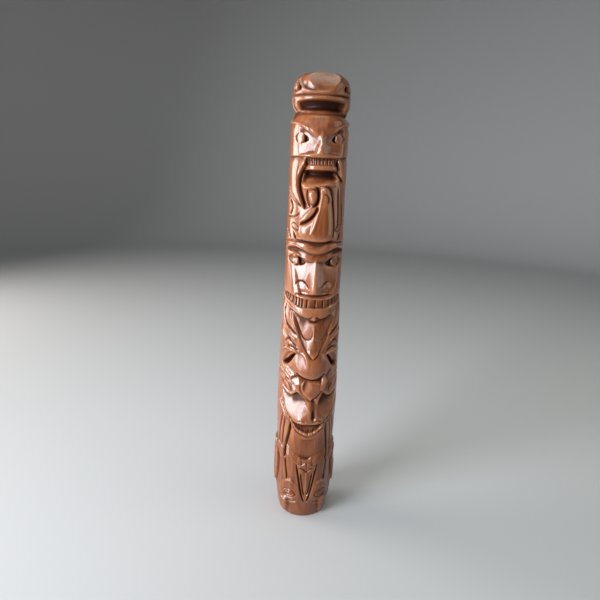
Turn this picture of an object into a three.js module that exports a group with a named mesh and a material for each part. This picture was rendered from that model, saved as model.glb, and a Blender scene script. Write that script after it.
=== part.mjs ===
// Carved wooden totem pole, one piece of wood, standing on its flat underside.
// Millimetres, +Z up, the figures face -Y, origin at the middle of the underside.
//
// The pole starts as a turned log. Its skin is a chart of angle by height that holds
// the radius of the wood, and each knife cut, gouge cut, raised shape and flat facet
// is a stroke on that chart. The skin is then thinned to the facets that carry the form.

import * as THREE from 'three';
import { mergeVertices } from 'three/addons/utils/BufferGeometryUtils.js';

// ---------------------------------------------------------------- driving dimensions
const HEIGHT = 500;          // underside to the crown
const FACETS = 7600;         // triangles kept in the finished skin
const COLS = 168;            // chart columns, closer together on the carved front
const ROWS = 360;            // chart rows
const CENTRE = 5;            // chart angle of the figures' centre line, degrees
const MM_PER_DEG = 0.55;     // length on the skin of one degree of the chart
const BACK_FLAT = 0.93;      // distance of the flattened back from the axis, in radii
const KERF = 0.5;            // width of the wall that a stop cut leaves

// radius of the log at the sides, from the underside up: [height, radius]
const OUTLINE = [[0, 28.2], [3, 29.4], [8, 30.6], [15, 31.6], [30, 33.3], [45, 34.2], [60, 34.4], [78, 34.3],
  [90, 33.4], [115, 34.6], [146, 35.2], [168, 34.9], [187, 34.4], [206, 34], [231, 33.6], [253, 32.8],
  [267, 32.2], [279, 31.7], [307, 31.3], [324, 31.4], [334, 31.4], [346, 30.9], [362, 30.8], [378, 30.4],
  [404, 30.5], [425, 30.2], [440, 30.4], [450, 30.5], [456, 30.3], [459.5, 29], [462.5, 26.9], [465, 26.9],
  [468, 28.4], [472, 29.6], [480, 29.7], [486, 29.2], [490, 28.6], [493, 27.7], [496, 26.1], [498.4, 23.5], [500, 19.5]];

// ---------------------------------------------------------------- the chart
const lerpTable = (table, x, k = 1) => {
  if (x <= table[0][0]) return table[0][k];
  for (let i = 1; i < table.length; i++) {
    if (x <= table[i][0]) {
      const [a, b] = [table[i - 1], table[i]];
      return a[k] + (b[k] - a[k]) * (x - a[0]) / (b[0] - a[0]);
    }
  }
  return table[table.length - 1][k];
};
const smooth = (x) => { const t = Math.min(1, Math.max(0, x)); return t * t * (3 - 2 * t); };
const rad = (deg) => deg * Math.PI / 180;

const angles = [];           // chart angle of each column, degrees, from CENTRE - 180
for (let i = 0; i < COLS; i++) {
  const t = 2 * i / COLS - 1;
  angles.push(CENTRE + 180 * t * (0.72 + 0.28 * t * t));
}
const heights = Array.from({ length: ROWS + 1 }, (_, j) => HEIGHT * j / ROWS);
const blank = heights.map((z) => angles.map((a) => {
  const r = lerpTable(OUTLINE, z);
  const back = 180 - Math.abs(a - CENTRE);
  return back < 60 ? Math.min(r, BACK_FLAT * r / Math.cos(rad(back))) : r;
}));
const skin = blank.map((row) => row.slice());

// calls f(column, row, x, z) for the chart points in a window given in mm
function over(x0, x1, z0, z1, f) {
  for (let j = Math.max(0, Math.floor(z0 / HEIGHT * ROWS)); j <= Math.min(ROWS, Math.ceil(z1 / HEIGHT * ROWS)); j++) {
    for (let i = 0; i < COLS; i++) {
      const x = angles[i] * MM_PER_DEG;
      if (x >= x0 && x <= x1) f(i, j, x, heights[j]);
    }
  }
}

// a smooth path through chart points [degrees, mm], as points in mm
function path(points, closed = false) {
  const v = points.map(([a, z]) => new THREE.Vector3(a * MM_PER_DEG, z, 0));
  return new THREE.CatmullRomCurve3(v, closed, 'catmullrom', 0.5).getPoints(points.length * 5);
}

// distance of (x, z) from a path, how far along it lies (0 to 1), and its side (+1 is on the right)
function nearest(line, x, z) {
  let best = Infinity, along = 0, side = 1;
  for (let k = 1; k < line.length; k++) {
    const a = line[k - 1], b = line[k];
    const dx = b.x - a.x, dz = b.y - a.y;
    const t = Math.min(1, Math.max(0, ((x - a.x) * dx + (z - a.y) * dz) / (dx * dx + dz * dz + 1e-12)));
    const ex = x - a.x - t * dx, ez = z - a.y - t * dz, d = ex * ex + ez * ez;
    if (d < best) { best = d; along = (k - 1 + t) / (line.length - 1); side = dx * (z - a.y) - dz * (x - a.x) < 0 ? 1 : -1; }
  }
  return [Math.sqrt(best), along, side];
}

function bounds(line, pad) {
  const xs = line.map((p) => p.x), zs = line.map((p) => p.y);
  return [Math.min(...xs) - pad, Math.max(...xs) + pad, Math.min(...zs) - pad, Math.max(...zs) + pad];
}

// depth inside a closed path, negative outside
function inside(line, x, z) {
  let hit = false;
  for (let k = 0, m = line.length - 1; k < line.length; m = k++) {
    const a = line[k], b = line[m];
    if ((a.y > z) !== (b.y > z) && x < (b.x - a.x) * (z - a.y) / (b.y - a.y) + a.x) hit = !hit;
  }
  return (hit ? 1 : -1) * nearest(line, x, z)[0];
}

// ---------------------------------------------------------------- strokes
const ends = (t) => Math.min(1, 0.35 + 5 * Math.min(t, 1 - t));     // a stroke runs out at its ends

function stroke(points, width, profile) {
  const line = path(points), pad = width / 2 + 1;
  over(...bounds(line, pad), (i, j, x, z) => {
    const [d, t] = nearest(line, x, z);
    const f = ends(t), u = d / (width / 2 * f);
    if (u < 1) skin[j][i] += profile(u) * f;
  });
}
const groove = (p, width, depth) => stroke(p, width, (u) => -depth * (1 - u));               // V cut
const gouge = (p, width, depth) => stroke(p, width, (u) => -depth * (1 - u * u) ** 1.5);   // round gouge cut
const ridge = (p, width, height) => stroke(p, width, (u) => height * (1 - u * u) ** 1.5);  // rounded rib

// stop cut along a path, with the wood pared away to nothing over `width` on one side of it
function edge(points, width, depth, side) {
  const line = path(points);
  over(...bounds(line, width), (i, j, x, z) => {
    const [d, t, s] = nearest(line, x, z);
    if (d < width && t > 0 && t < 1) {
      skin[j][i] -= depth * ends(t) * smooth(0.5 + s * side * d / KERF) * Math.max(0, 1 - d / width) ** 1.2;
    }
  });
}

// sunk (or, with a negative depth, raised) area with a bevelled edge
function pocket(points, depth, bevel) {
  const line = path(points, true);
  over(...bounds(line, 1), (i, j, x, z) => { skin[j][i] -= depth * smooth(inside(line, x, z) / bevel); });
}
const raised = (p, height, bevel) => pocket(p, -height, bevel);

// hollow whose floor lies `depth` under the log's own surface
function level(points, depth, bevel) {
  const line = path(points, true);
  over(...bounds(line, 1), (i, j, x, z) => {
    skin[j][i] += smooth(inside(line, x, z) / bevel) * Math.min(0, blank[j][i] - depth - skin[j][i]);
  });
}

// hollow whose floor runs from d1 deep at height z1 to d0 deep at height z0
function scoop(points, bevel, z1, d1, z0, d0) {
  const line = path(points, true);
  over(...bounds(line, 1), (i, j, x, z) => {
    const deep = d0 + (d1 - d0) * Math.min(1, Math.max(0, (z - z0) / (z1 - z0)));
    skin[j][i] += smooth(inside(line, x, z) / bevel) * Math.min(0, blank[j][i] - deep - skin[j][i]);
  });
}

// rounded body: its sides rise steeply and turn over into a crown
function swell(points, height, bevel) {
  const line = path(points, true);
  over(...bounds(line, 1), (i, j, x, z) => {
    const u = Math.min(1, Math.max(0, inside(line, x, z) / bevel));
    skin[j][i] += height * Math.sqrt(1 - (1 - u) ** 2);
  });
}

// flat facet inside an area: the plane passes `depth` under the log at (a0, z0) and faces azimuth az, tilted up by tilt
function planecut(points, bevel, a0, z0, depth, az, tilt) {
  const line = path(points, true);
  const r0 = lerpTable(OUTLINE, z0) - depth;
  const c = r0 * Math.cos(rad(tilt)) * Math.cos(rad(a0 - az)) + z0 * Math.sin(rad(tilt));
  over(...bounds(line, 1), (i, j, x, z) => {
    const face = Math.cos(rad(tilt)) * Math.max(0.25, Math.cos(rad(angles[i] - az)));
    const r = (c - z * Math.sin(rad(tilt))) / face;
    skin[j][i] -= smooth(inside(line, x, z) / bevel) * Math.max(0, skin[j][i] - r);
  });
}

// rounds the work off inside an area, as sandpaper does
function soften(points, bevel, size) {
  const line = path(points, true), before = skin.map((row) => row.slice());
  const reach = Math.ceil(3 * size * ROWS / HEIGHT);
  over(...bounds(line, 1), (i, j, x, z) => {
    const k = smooth(inside(line, x, z) / bevel);
    if (k <= 0) return;
    let sum = 0, weight = 0;
    for (let m = Math.max(0, j - reach); m <= Math.min(ROWS, j + reach); m++) {
      for (let c = Math.max(0, i - 6); c <= Math.min(COLS - 1, i + 6); c++) {
        const w = Math.exp(-0.5 * ((angles[c] * MM_PER_DEG - x) ** 2 + (heights[m] - z) ** 2) / size ** 2);
        sum += w * before[m][c]; weight += w;
      }
    }
    skin[j][i] += k * (sum / weight - skin[j][i]);
  });
}

// oval boss: a flat disc with a bevelled rim, or a rounded knob
function oval(a, z0, halfWidth, halfHeight, profile) {
  const w = halfWidth * MM_PER_DEG, x0 = a * MM_PER_DEG;
  over(x0 - w, x0 + w, z0 - halfHeight, z0 + halfHeight, (i, j, x, z) => {
    const q = Math.hypot((x - x0) / w, (z - z0) / halfHeight);
    if (q < 1) skin[j][i] += profile(q, Math.min(w, halfHeight));
  });
}
const disc = (a, z, hw, hh, height, bevel) => oval(a, z, hw, hh, (q, size) => height * smooth((1 - q) * size / bevel));
const blob = (a, z, hw, hh, height) => oval(a, z, hw, hh, (q) => height * (1 - q * q) ** 1.2);

// roof-shaped rib down a centre line: knots of [height, half width in degrees, rise]
function tent(a0, knots) {
  const up = knots.slice().sort((p, q) => p[0] - q[0]);
  over(-200, 200, up[0][0], up[up.length - 1][0], (i, j, x, z) => {
    const u = Math.abs(angles[i] - a0) / lerpTable(up, z, 1);
    if (u < 1) skin[j][i] += lerpTable(up, z, 2) * (1 - u);
  });
}

// cut that runs all the way round
function ring(z0, width, depth) {
  over(-200, 200, z0 - width / 2, z0 + width / 2, (i, j, x, z) => {
    const u = Math.abs(z - z0) / (width / 2);
    if (u < 1) skin[j][i] -= depth * (1 - u * u) ** 1.5;
  });
}

// the same stroke on both sides of a centre line
const flip = (c, points) => points.map(([a, z]) => [2 * c - a, z]);
const both = (f) => (c, points, ...rest) => { f(points, ...rest); f(flip(c, points), ...rest); };
const [groove2, gouge2, ridge2, pocket2, raised2] = [groove, gouge, ridge, pocket, raised].map(both);
const disc2 = (c, a, ...rest) => { disc(a, ...rest); disc(2 * c - a, ...rest); };
const blob2 = (c, a, ...rest) => { blob(a, ...rest); blob(2 * c - a, ...rest); };

// ---------------------------------------------------------------- the carving, from the crown down

// top head: wide-mouthed animal, z 462 to 500
planecut([[-110,512],[-110,490],[-30,490],[-24,498],[-20,512]], 3.0, -52, 495.5, 0.2, -58, 46);
planecut([[120,512],[120,492],[46,492],[40,499],[36,512]], 3.0, 64, 497.5, 0.2, 68, 46);
planecut([[-74,514],[-60,498],[-50,491.6],[-38,486],[-24,483.2],[-8,482.2],[5,482],[20,482.2],[36,483.8],[50,487.6],[62,494],[78,514]], 2.6, 5, 484, 0.2, 5, 35);
edge([[-55,497],[-50,492.4],[-43,488],[-34,484.8],[-23,482.8],[-10,481.9],[6,481.6],[20,482]], 10.0, 2.0, -1);
soften([[-12,494],[-10,480.8],[5,479.8],[24,480.8],[30,492],[10,496]], 4.0, 2.4);
ridge([[-61,494.6],[-55,493],[-48,489.4],[-39,485],[-29,482],[-15,480.8]], 3.4, 0.8);
ridge([[62,492],[54,489],[44,485],[34,482.6]], 3.6, 0.5);
pocket2(3, [[-72,486.4],[-64,491.6],[-56,492.4],[-48,489.2],[-41.5,485],[-50,482.6],[-63,482.6]], 1.5, 1.2);
disc2(3, -59, 487, 5.8, 4.0, 2.4, 0.9);
pocket2(3, [[-54,491],[-47,488.4],[-41.5,485],[-53,483.4]], 2.2, 1.1);
scoop([[-57,463],[-60,468],[-54,474.4],[-20,475.6],[5,475.8],[30,475.6],[60,474.4],[66,468],[64,463],[42,460.6],[5,460.2],[-34,460.6]], 8.0, 474, 8.5, 461, 3.2);
edge([[-54,472.8],[-30,473.6],[5,473.8],[40,473.6],[62,472.8]], 13.0, 5.8, 1);
groove([[-84,479.8],[-50,479.2],[-20,478.6],[5,478.3],[30,478.6],[56,479.2],[90,479.8]], 2.2, 1.9);
edge([[-62,479.4],[-40,478.8],[5,478],[45,478.8],[66,479.4]], 5.0, 0.8, 1);
gouge2(3, [[-80,479],[-76,473],[-70,468],[-60,464.4]], 3.0, 2.0);

// second figure: face, z 420 to 459
gouge([[-76,462.4],[-50,461.6],[5,460.8],[60,461.6],[86,462.4]], 7.0, 3.0);
scoop([[-86,464],[-76,455.6],[-62,453.6],[-46,452.0],[-31,449.2],[-14,445.2],[5,441],[24,445.2],[41,449.2],[56,452.0],[72,453.6],[86,455.6],[96,464]], 2.4, 460, 2.6, 447, 0.3);
planecut([[-44,464],[-38,453],[-28,449.4],[-13,445.2],[5,441.4],[23,445.2],[38,449.4],[48,453],[54,464]], 4.0, 5, 446, 0.3, 5, 13);
planecut([[-66,452.8],[-46,450.8],[-31,447.8],[-15,443.6],[0,439.6],[5,437],[5,425],[-14,422.6],[-40,422.4],[-60,424],[-70,432],[-72,444]], 2.2, 5, 437, 0.0, -19, 1);
planecut([[76,452.8],[56,450.8],[41,447.8],[25,443.6],[10,439.6],[5,437],[5,425],[24,422.6],[50,422.4],[70,424],[80,432],[82,444]], 2.2, 5, 437, 0.0, 29, 1);
soften([[-22,449],[-8,447],[5,446],[18,447],[32,449],[30,441],[16,436],[-6,436],[-20,441]], 3.0, 2.0);
edge([[-96,453.4],[-78,453.2],[-58,452.8],[-45,451.4],[-34,449.2],[-26,447.2]], 8.0, 1.5, 1);
edge([[106,453.4],[88,453.2],[68,452.8],[55,451.4],[44,449.2],[36,447.2]], 8.0, 1.5, -1);
tent(6, [[446,3,0.2],[441,7,1.0],[436,9,1.6],[431,11,2.4],[427,12,3.0],[424.6,12,2.0],[422.4,11,0]]);
blob2(6.5, -2, 428, 7.5, 5.0, 0.9);
blob(5, 422.6, 42, 5.2, 1.2);
soften([[-52,434],[-30,437],[-12,434],[5,433],[22,434],[40,437],[62,434],[62,424.4],[5,423.4],[-52,424.4]], 3.0, 1.3);
pocket2(2, [[-54,439.6],[-48,442.8],[-39.6,444.2],[-31,442],[-22,437.4],[-30.6,434.6],[-39.6,433.8],[-48,435.6]], 1.3, 0.9);
disc2(2, -39, 439, 8.6, 5.4, 1.7, 0.8);
pocket([[-31.5,442],[-21.6,437.4],[-31,434.8]], 2.2, 0.8);
pocket([[35.5,442],[25.6,437.4],[35,434.8]], 1.2, 0.8);
edge([[-96,422.8],[-70,421.7],[-45,421.3],[-22,420.6],[5,420.2],[32,420.6],[46,421],[70,422.6],[100,423.8]], 7.0, 2.0, 1);

// mouth of the second figure, z 391 to 420
level([[-25,420.4],[-28.5,412.5],[-31,408],[5,407.6],[46,408],[46,412.5],[45,420.4],[5,420]], 2.6, 1.2);
raised([[-32,408.2],[-30,412.9],[5,413.1],[45,412.9],[46,408.2],[5,407.8]], 1.3, 1.2);
scoop([[-29,409.2],[-36,404.5],[-40,398.5],[-36,393.4],[-20,391.4],[-4,391.8],[10,393],[26,394.8],[40,395.4],[50,399.4],[51,404.4],[45,409.2],[5,408.8]], 5.5, 409, 9.0, 393, 2.4);
edge([[-33,407.9],[-20,408.1],[5,408.3],[30,408.1],[47,407.9]], 9.0, 4.6, 1);
ridge([[-30,390.4],[-14,390.8],[2,392.4],[14,394.2],[26,394.8],[38,393.4]], 4.6, 1.6);

// long tusks and the gripped fish, z 337 to 420
edge([[-25,419.5],[-30,411.5],[-38,404.5],[-42,398],[-40.5,390],[-34.5,382],[-28.5,375.5],[-23,369]], 12.0, 3.8, -1);
gouge([[-29,411.5],[-36.5,404.5],[-40,398],[-38.5,390],[-32.5,382],[-27,375.5],[-23.5,371]], 4.0, 2.4);
ridge([[-38,419],[-43,411],[-46,402],[-45.5,394],[-40.5,385.4],[-33.5,377.6],[-26,370.4]], 3.8, 1.5);
edge([[46,419],[49,410.5],[53,403.6],[60,397.6]], 7.0, 2.6, 1);
gouge([[45,417],[48.5,409.5],[52.5,403.2],[60,398]], 4.4, 3.4);
swell([[-16,382.4],[-14.6,387],[-8,389],[-1.6,387.6],[1.6,383.4],[0.8,378.2],[-4,374.6],[-11.4,375.4]], 3.6, 4.6);
gouge([[-4,392.6],[2.4,390],[4.8,384],[3.8,378],[-0.6,373.2],[-7,371.2]], 3.4, 2.8);
gouge([[-17.5,389.6],[-19.6,383],[-17.4,376.5],[-12,372.4]], 2.6, 1.3);
swell([[9,392],[22,390.6],[29.5,380],[34,366],[36.5,352],[35,342],[25,337],[5,335.8],[-16,337],[-30,341],[-34,348],[-29,353.6],[-15,356.6],[-5,361],[1,367.6],[4,375],[6,384]], 4.6, 12.0);
ridge([[8,391],[8.5,381],[5.5,372],[2.5,363],[-1,353],[-7,344]], 5.0, 1.2);
ridge([[9,389.6],[20,389],[28,385],[27,377]], 3.4, 1.1);
gouge([[13,385],[19,384],[22,379.6],[20,375]], 2.8, 1.3);
gouge([[26,391],[31.5,380],[35.5,366],[38.5,352],[37.5,341]], 2.8, 1.8);
raised([[3,374.6],[-7,372.6],[-20,365.6],[-33,355.6],[-18,357.3],[-6,362.3],[1,368]], 2.4, 2.2);
gouge([[5.5,373.6],[1.5,367],[-7,360.8],[-18,355.9],[-31,353.4]], 3.0, 2.6);
pocket2(6, [[-48.5,346.4],[-42,343.4],[-38.4,338.4],[-45,338.8]], 3.6, 1.4);
gouge([[-66,378.2],[-58,375.4],[-54,370.6],[-56.5,366],[-62,362.8]], 4.0, 3.2);
gouge([[-76,361.4],[-57,360.6],[-42,361.6],[-33,365.4]], 2.6, 1.4);
gouge([[98,361.4],[84,360.6],[72,363]], 2.6, 1.2);
gouge([[-74,348],[-63,344.6],[-53,338]], 3.0, 1.4);
gouge([[96,352],[84,346],[76,338]], 3.0, 1.2);
gouge([[59,377],[63,366],[65,352]], 3.4, 2.4);
gouge([[45,392],[48,375],[50,358],[49,349]], 2.6, 1.3);

// third figure: face, z 251 to 335
gouge([[-78,335.4],[-50,336],[-24,336.4],[5,335.4],[34,336.4],[60,336],[88,335.4]], 3.4, 1.3);
edge([[-40,338.6],[-24,337.2],[5,335.9],[24,336.6],[40,338.6]], 5.0, 1.8, 1);
planecut([[-80,336],[-74,329],[-48,330.4],[-28,328],[-12,325],[6,323.4],[24,325],[38,328],[58,330.4],[84,329],[90,336]], 2.4, 5, 327, 0.1, 5, 20);
scoop([[-76,328],[-66,324.6],[-54,323.4],[-42,323],[-31,320.4],[-22,315.6],[-10,313],[5,311.6],[20,313],[32,315.6],[41,320.4],[52,323],[64,323.4],[76,324.6],[84,328],[58,331.4],[38,330.2],[24,327],[6,325.4],[-12,327],[-28,330.2],[-48,331.4]], 3.2, 326, 2.7, 317, 0.2);
ridge2(5, [[-64,331.6],[-46,332.2],[-31,330.6],[-20,327.4]], 3.0, 1.0);
planecut([[-60,317],[-46,321.4],[-30,321.6],[-16,319],[5,318],[22,319],[24,280],[5,278],[-14,278],[-27,277.6],[-37,288],[-48,302]], 4.6, 5, 300, -0.6, -24, 2);
planecut([[70,317],[56,321.4],[40,321.6],[26,319],[5,318],[-12,319],[-14,280],[5,278],[24,278],[38,277.6],[52,286],[66,300]], 4.6, 5, 300, -0.6, 33, 2);
soften([[-62,314],[-46,313],[-35,302],[-28,290],[-24,280.6],[-42,280.6],[-54,290],[-62,302]], 3.0, 2.8);
tent(6, [[319,4,0.2],[312,9,0.9],[304,15,1.8],[296,20,3.0],[289,23,4.2],[284.5,23,4.4],[281.6,21,3.2],[279.6,19,0]]);
pocket2(4, [[-62,317.4],[-53,321],[-42,322.6],[-32,320.8],[-18,313.8],[-30,310.6],[-40,309.2],[-53,312.4]], 1.6, 1.3);
disc2(4, -42, 316, 8.0, 6.0, 1.8, 0.8);
pocket([[-34.5,321.0],[-17,313.6],[-33,310.0]], 2.6, 1.1);
pocket([[42.5,321.0],[26,313.6],[41,310.0]], 1.4, 1.1);
edge([[-34,280.3],[-14,279.7],[6,279.3],[26,279.7],[46,280.3]], 6.0, 3.0, 1);
blob2(6, -22, 286, 14, 6.6, 0.8);
gouge([[-36,289.4],[-32.5,292.8],[-23,294.0],[-13,291.2],[-3.4,285.2]], 1.8, 1.7);
gouge([[42,293],[35,294.0],[25,291.2],[16,286]], 1.8, 0.8);
level([[-76,276.8],[-64,279.6],[-46,278.6],[-30,276.6],[-12,275.2],[10,274.6],[34,274.6],[48,276.6],[62,279.2],[82,277.6],[72,272.6],[60,269.6],[46,267.2],[33,265],[10,264.2],[-20,264.4],[-35,266.6],[-48,269.6],[-62,272.2]], 2.0, 1.0);
edge([[86,280],[72,272],[62,266.6],[46,260.6],[34,256],[20,252.2],[6,251],[-10,253.2],[-25,256.2],[-40,260],[-56,265.2],[-66,269],[-76,275]], 10.0, 3.2, -1);
gouge2(4, [[-62,270],[-48,266.6],[-38,263.4],[-27,259.4]], 2.0, 1.2);

// beak and folded arms, z 183 to 262
gouge2(8, [[-67,266],[-63,254],[-54,245],[-38,238.8],[-23,233.4]], 4.2, 2.5);
ridge2(8, [[-63,239.4],[-48,234.6],[-34,230.8],[-25,227.4]], 3.4, 1.6);
edge([[-86,247],[-74,241],[-60,235.6],[-46,231.6],[-32,228.2]], 7.0, 1.8, 1);
edge([[102,247],[90,241],[76,235.6],[62,231.6],[48,228.2]], 7.0, 1.8, -1);
gouge2(8, [[-45,259],[-36,247],[-27,238]], 2.2, 0.9);
raised([[-27,240],[-20,230.5],[-13,224],[-6,217.4],[1,212],[8,208.6],[15,212],[22,217.4],[29,223.5],[36,230.5],[43,240],[32,246],[8,249],[-16,246]], 1.5, 1.6);
planecut([[-46,261.5],[-27,238],[-13,223],[0,211.5],[8,205.6],[8,252.4],[-6,254.2],[-22,257],[-36,261]], 1.4, 8, 236, -1.4, -20.5, 5.8);
planecut([[62,261.5],[43,238],[29,223],[16,211.5],[8,205.6],[8,252.4],[22,254.2],[38,257],[52,261]], 1.4, 8, 236, -0.7, 31, 5.5);
gouge([[-39,257],[-28,246.5],[-21,238.6],[-14,232.4],[-7,229.8],[0,230.2],[5,233.4],[6,241]], 1.9, 1.2);
gouge([[55,257],[44,246.5],[37,238.6],[30,232.4],[23,229.8],[16,230.2],[11,233.4],[10,241]], 1.8, 0.7);
gouge2(8, [[-25,239],[-20,231.6],[-13,224.2],[-5,216.6],[3,210.2],[8,207.4]], 2.0, 1.0);
gouge2(7, [[-54,222.2],[-46,227.6],[-36,224.8],[-22,220]], 2.4, 1.6);
gouge2(7, [[-46,219.6],[-34,219.8],[-20,216.6]], 2.2, 1.4);
ridge2(7, [[-62,212],[-48,216.8],[-34,215.4],[-18,212.2]], 3.8, 1.8);
scoop([[-24,214],[-40,214.6],[-54,209],[-64,198],[-50,195],[-39,198.6],[-30,206]], 4.0, 214, 2.2, 200, 3.6);
scoop([[38,214],[54,214.6],[66,209],[74,198],[62,195],[51,198.6],[43,206]], 4.0, 214, 2.2, 200, 3.6);
level([[-24.5,212.4],[-38,209.6],[-50,204],[-62,197],[-50,195.2],[-40,198.6],[-31,205]], 9.0, 2.6);
level([[34.5,213],[46,210.4],[57,205],[69,197],[58,195],[49,198.6],[41,205]], 9.0, 2.6);
blob(7, 199, 38, 19, 4.6);
planecut([[-30,214],[-8,213],[1,202],[0,190],[-16,184.6],[-32,190],[-36,200]], 3.6, -12, 199, -2.2, -22, 9.5);
planecut([[44,214],[26,212],[20,200],[22,188],[34,184],[46,190],[50,200]], 5.0, 26, 199, -2.8, 40, 0);
edge([[-20,190.6],[-10,186.6],[2,184.2],[12,183.9],[22,186],[31,191]], 10.0, 5.0, 1);
gouge([[-17,188.6],[-8,185.2],[3,183.0],[12,182.8],[22,184.8],[30,189.4]], 3.0, 1.4);

// fourth head, z 112 to 197
edge([[-92,186],[-74,186.2],[-56,184.6],[-42,181.4],[-30,177],[-20,171.6]], 6.0, 1.6, 1);
edge([[106,186],[88,186.2],[70,184.6],[56,181.4],[44,177],[34,171.6]], 6.0, 1.6, -1);
planecut([[-64,190],[-50,197],[-34,195],[-22,187],[-14,178],[-20,172.6],[-34,179],[-50,184]], 2.6, -36, 186, 0.2, -30, 15);
gouge2(7, [[-68,190.8],[-50,186.9],[-35,181],[-19,172.6]], 1.8, 1.0);
gouge2(7, [[-60,195],[-45,190.6],[-34,186]], 1.8, 0.7);
gouge2(7, [[-37,194],[-29,190.6],[-24,186.4]], 1.8, 1.0);
blob(8, 141, 62, 24, 3.0);
planecut([[-66,163],[-54,166.4],[-43,164],[-31,162.6],[-19,167],[-9,163.6],[0,158],[7,150],[8.6,139],[8,130],[-10,128.6],[-22,130.6],[-33,137],[-44,144],[-56,151.6]], 1.6, 2, 150, -1.0, -22, 14);
planecut([[80,163],[68,166.4],[57,164],[45,162.6],[33,167],[27,163.6],[22,158],[18,150],[17,139],[18,130],[27,128.6],[38,130.6],[48,137],[58,144],[70,151.6]], 2.4, 14, 150, -1.0, 37, 14);
pocket2(7, [[-67,176.4],[-58,178.2],[-48.7,177.6],[-39,176.8],[-32.5,174.8],[-28,169.4],[-30,165],[-36,164],[-43,165.6],[-55,170]], 0.9, 0.9);
raised2(7, [[-50,175.4],[-44,176.4],[-37,174],[-32,169.4],[-32,166],[-37,167],[-43.6,170.6]], 1.3, 0.9);
raised([[8,183],[-4,181.6],[-11,174.5],[-8,168],[-1,162.5],[8,158.8],[18,162.5],[26,168],[28,174.5],[22,181.6]], 1.1, 2.4);
planecut([[10,182.6],[-4,181.6],[-10,175],[-8,168],[-1,163],[8,160],[13,166],[14,176]], 2.6, 4, 171, -0.5, -18, 15);
planecut([[-31,185],[-21,187],[-11,185],[-5,182.6],[-8,178.6],[-13,173.6],[-19,171.6],[-28,175],[-35,180]], 2.2, -18, 180, 1.1, -25, 17);
gouge([[-6,181.6],[-13,174.5],[-10,167.4],[-2,161.4],[8,157.8],[18,161.4],[28,167.4],[30.5,174]], 2.4, 1.2);
gouge([[12,161],[13,152],[13.5,142],[14,133]], 6.4, 2.6);
raised([[31,189.6],[38,187],[41,178],[35,170.6],[27,168],[23.5,173.4],[27,181]], 2.2, 2.6);
soften([[-3,157],[8,158.6],[20,157],[26,151],[20,146],[12,144],[4,147],[-3,152]], 3.0, 1.6);
blob2(8.5, -5, 132, 11, 4.4, 1.6);
gouge2(8, [[-14,130.8],[-7,133.6],[1,132.4]], 2.2, 1.8);
edge([[-28,129.8],[-8,128.8],[8,128],[24,128.8],[42,129.8]], 6.0, 2.2, 1);
gouge2(7, [[-66,158.6],[-56,151.6],[-44,144.4],[-33,137],[-23,130.8],[-13,127.6]], 2.0, 1.5);
gouge2(7, [[-66,152],[-57,146],[-47,139.6],[-37,132],[-28,126]], 2.0, 1.3);
level([[-24,128.6],[-18,122.8],[-9,118.8],[5,115.6],[18,117.4],[28,121],[36,126.4],[30,128.6],[5,127.8],[-10,128.4]], 2.4, 1.0);
level([[1,128.4],[3,123],[14,121.6],[27,122.6],[30,128],[16,128.2]], 2.6, 1.8);
groove([[-29,130],[-23,122.6],[-17,118],[-8,114.6],[4,111.6],[16,112.6],[26,116.2],[34,120.6],[41,127]], 1.9, 1.5);

// body, arms, wings and feet, z 0 to 130
planecut([[-27,116],[-14,111],[5,108.6],[24,111],[38,116],[41,100],[38,91],[20,85],[7,80],[-8,84],[-27,92.4]], 2.0, 7, 100, 1.3, 6, -2);
edge([[-30,128],[-31.5,118],[-35,108],[-39,99],[-42,90],[-42.5,80]], 6.0, 1.7, -1);
gouge([[-30,129],[-32,118],[-36,108],[-40,99],[-42.6,90],[-42.4,79]], 3.6, 3.2);
gouge([[42.5,128],[45.5,115],[48.5,104],[50.5,94],[50.5,84],[48,76]], 4.2, 3.4);
gouge2(5, [[-42,134],[-47,117],[-50,104],[-51,93]], 2.8, 2.2);
gouge2(5, [[-50,136],[-57,118],[-61,104],[-62,95]], 2.8, 2.0);
planecut([[-33.5,119],[-28,118],[-26.5,104],[-28,93.4],[-37,97],[-38,101]], 1.2, -32, 106, 1.0, -54, 3);
raised2(7, [[-43,99.4],[-28,92.4],[-15,88],[-5.5,84.4],[-3,79],[-5,73.4],[-14,74.8],[-26,80],[-42,86.6]], 1.0, 1.6);
swell([[-70,93],[-60,94],[-50,91],[-45,84],[-44,77],[-50,74],[-60,80],[-68,86]], 1.5, 5.0);
swell([[84,93],[74,94],[64,91],[59,84],[58,77],[64,74],[74,80],[82,86]], 1.8, 5.0);
raised2(7, [[-12.5,73],[-9.5,64],[-6,52],[-2.5,40],[3,26],[7,24],[7,74],[-3,75]], 1.0, 1.0);
gouge2(7, [[-13.4,74],[-10.6,64],[-7,52],[-3.5,40],[2,27.4],[6,22]], 2.6, 2.3);
gouge2(7, [[-4.6,65],[-1.6,52],[1.4,40],[5.4,32]], 2.6, 2.3);
ridge([[7,67],[7.2,52],[7,40]], 3.4, 1.0);
gouge([[-9,70.6],[0,69.6],[7,66],[14,69.6],[23,70.6]], 2.0, 1.4);
gouge2(6, [[-40,79],[-38.4,68],[-36,60],[-34,50]], 3.4, 2.6);
raised([[-112,92],[-96,94],[-76,93],[-65,86],[-60,74],[-60,60],[-65,46],[-72,37],[-84,33],[-100,34],[-114,42]], 2.4, 2.2);
raised([[122,92],[106,94],[86,93],[75,86],[70,74],[70,60],[75,46],[82,37],[94,33],[110,34],[124,42]], 2.2, 2.2);
raised([[62,22],[72,16],[100,14],[118,24],[118,62],[96,70],[74,64],[64,46]], 1.1, 7.0);
swell([[-52,24],[-56,33],[-50,43],[-38,50],[-25,52.6],[-13,49],[-6,42],[-4,32],[-8,22],[-28,17]], 1.5, 12.0);
swell([[64,24],[68,33],[62,43],[50,50],[37,52.6],[25,49],[18,42],[16,32],[20,22],[40,17]], 1.4, 12.0);
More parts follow.
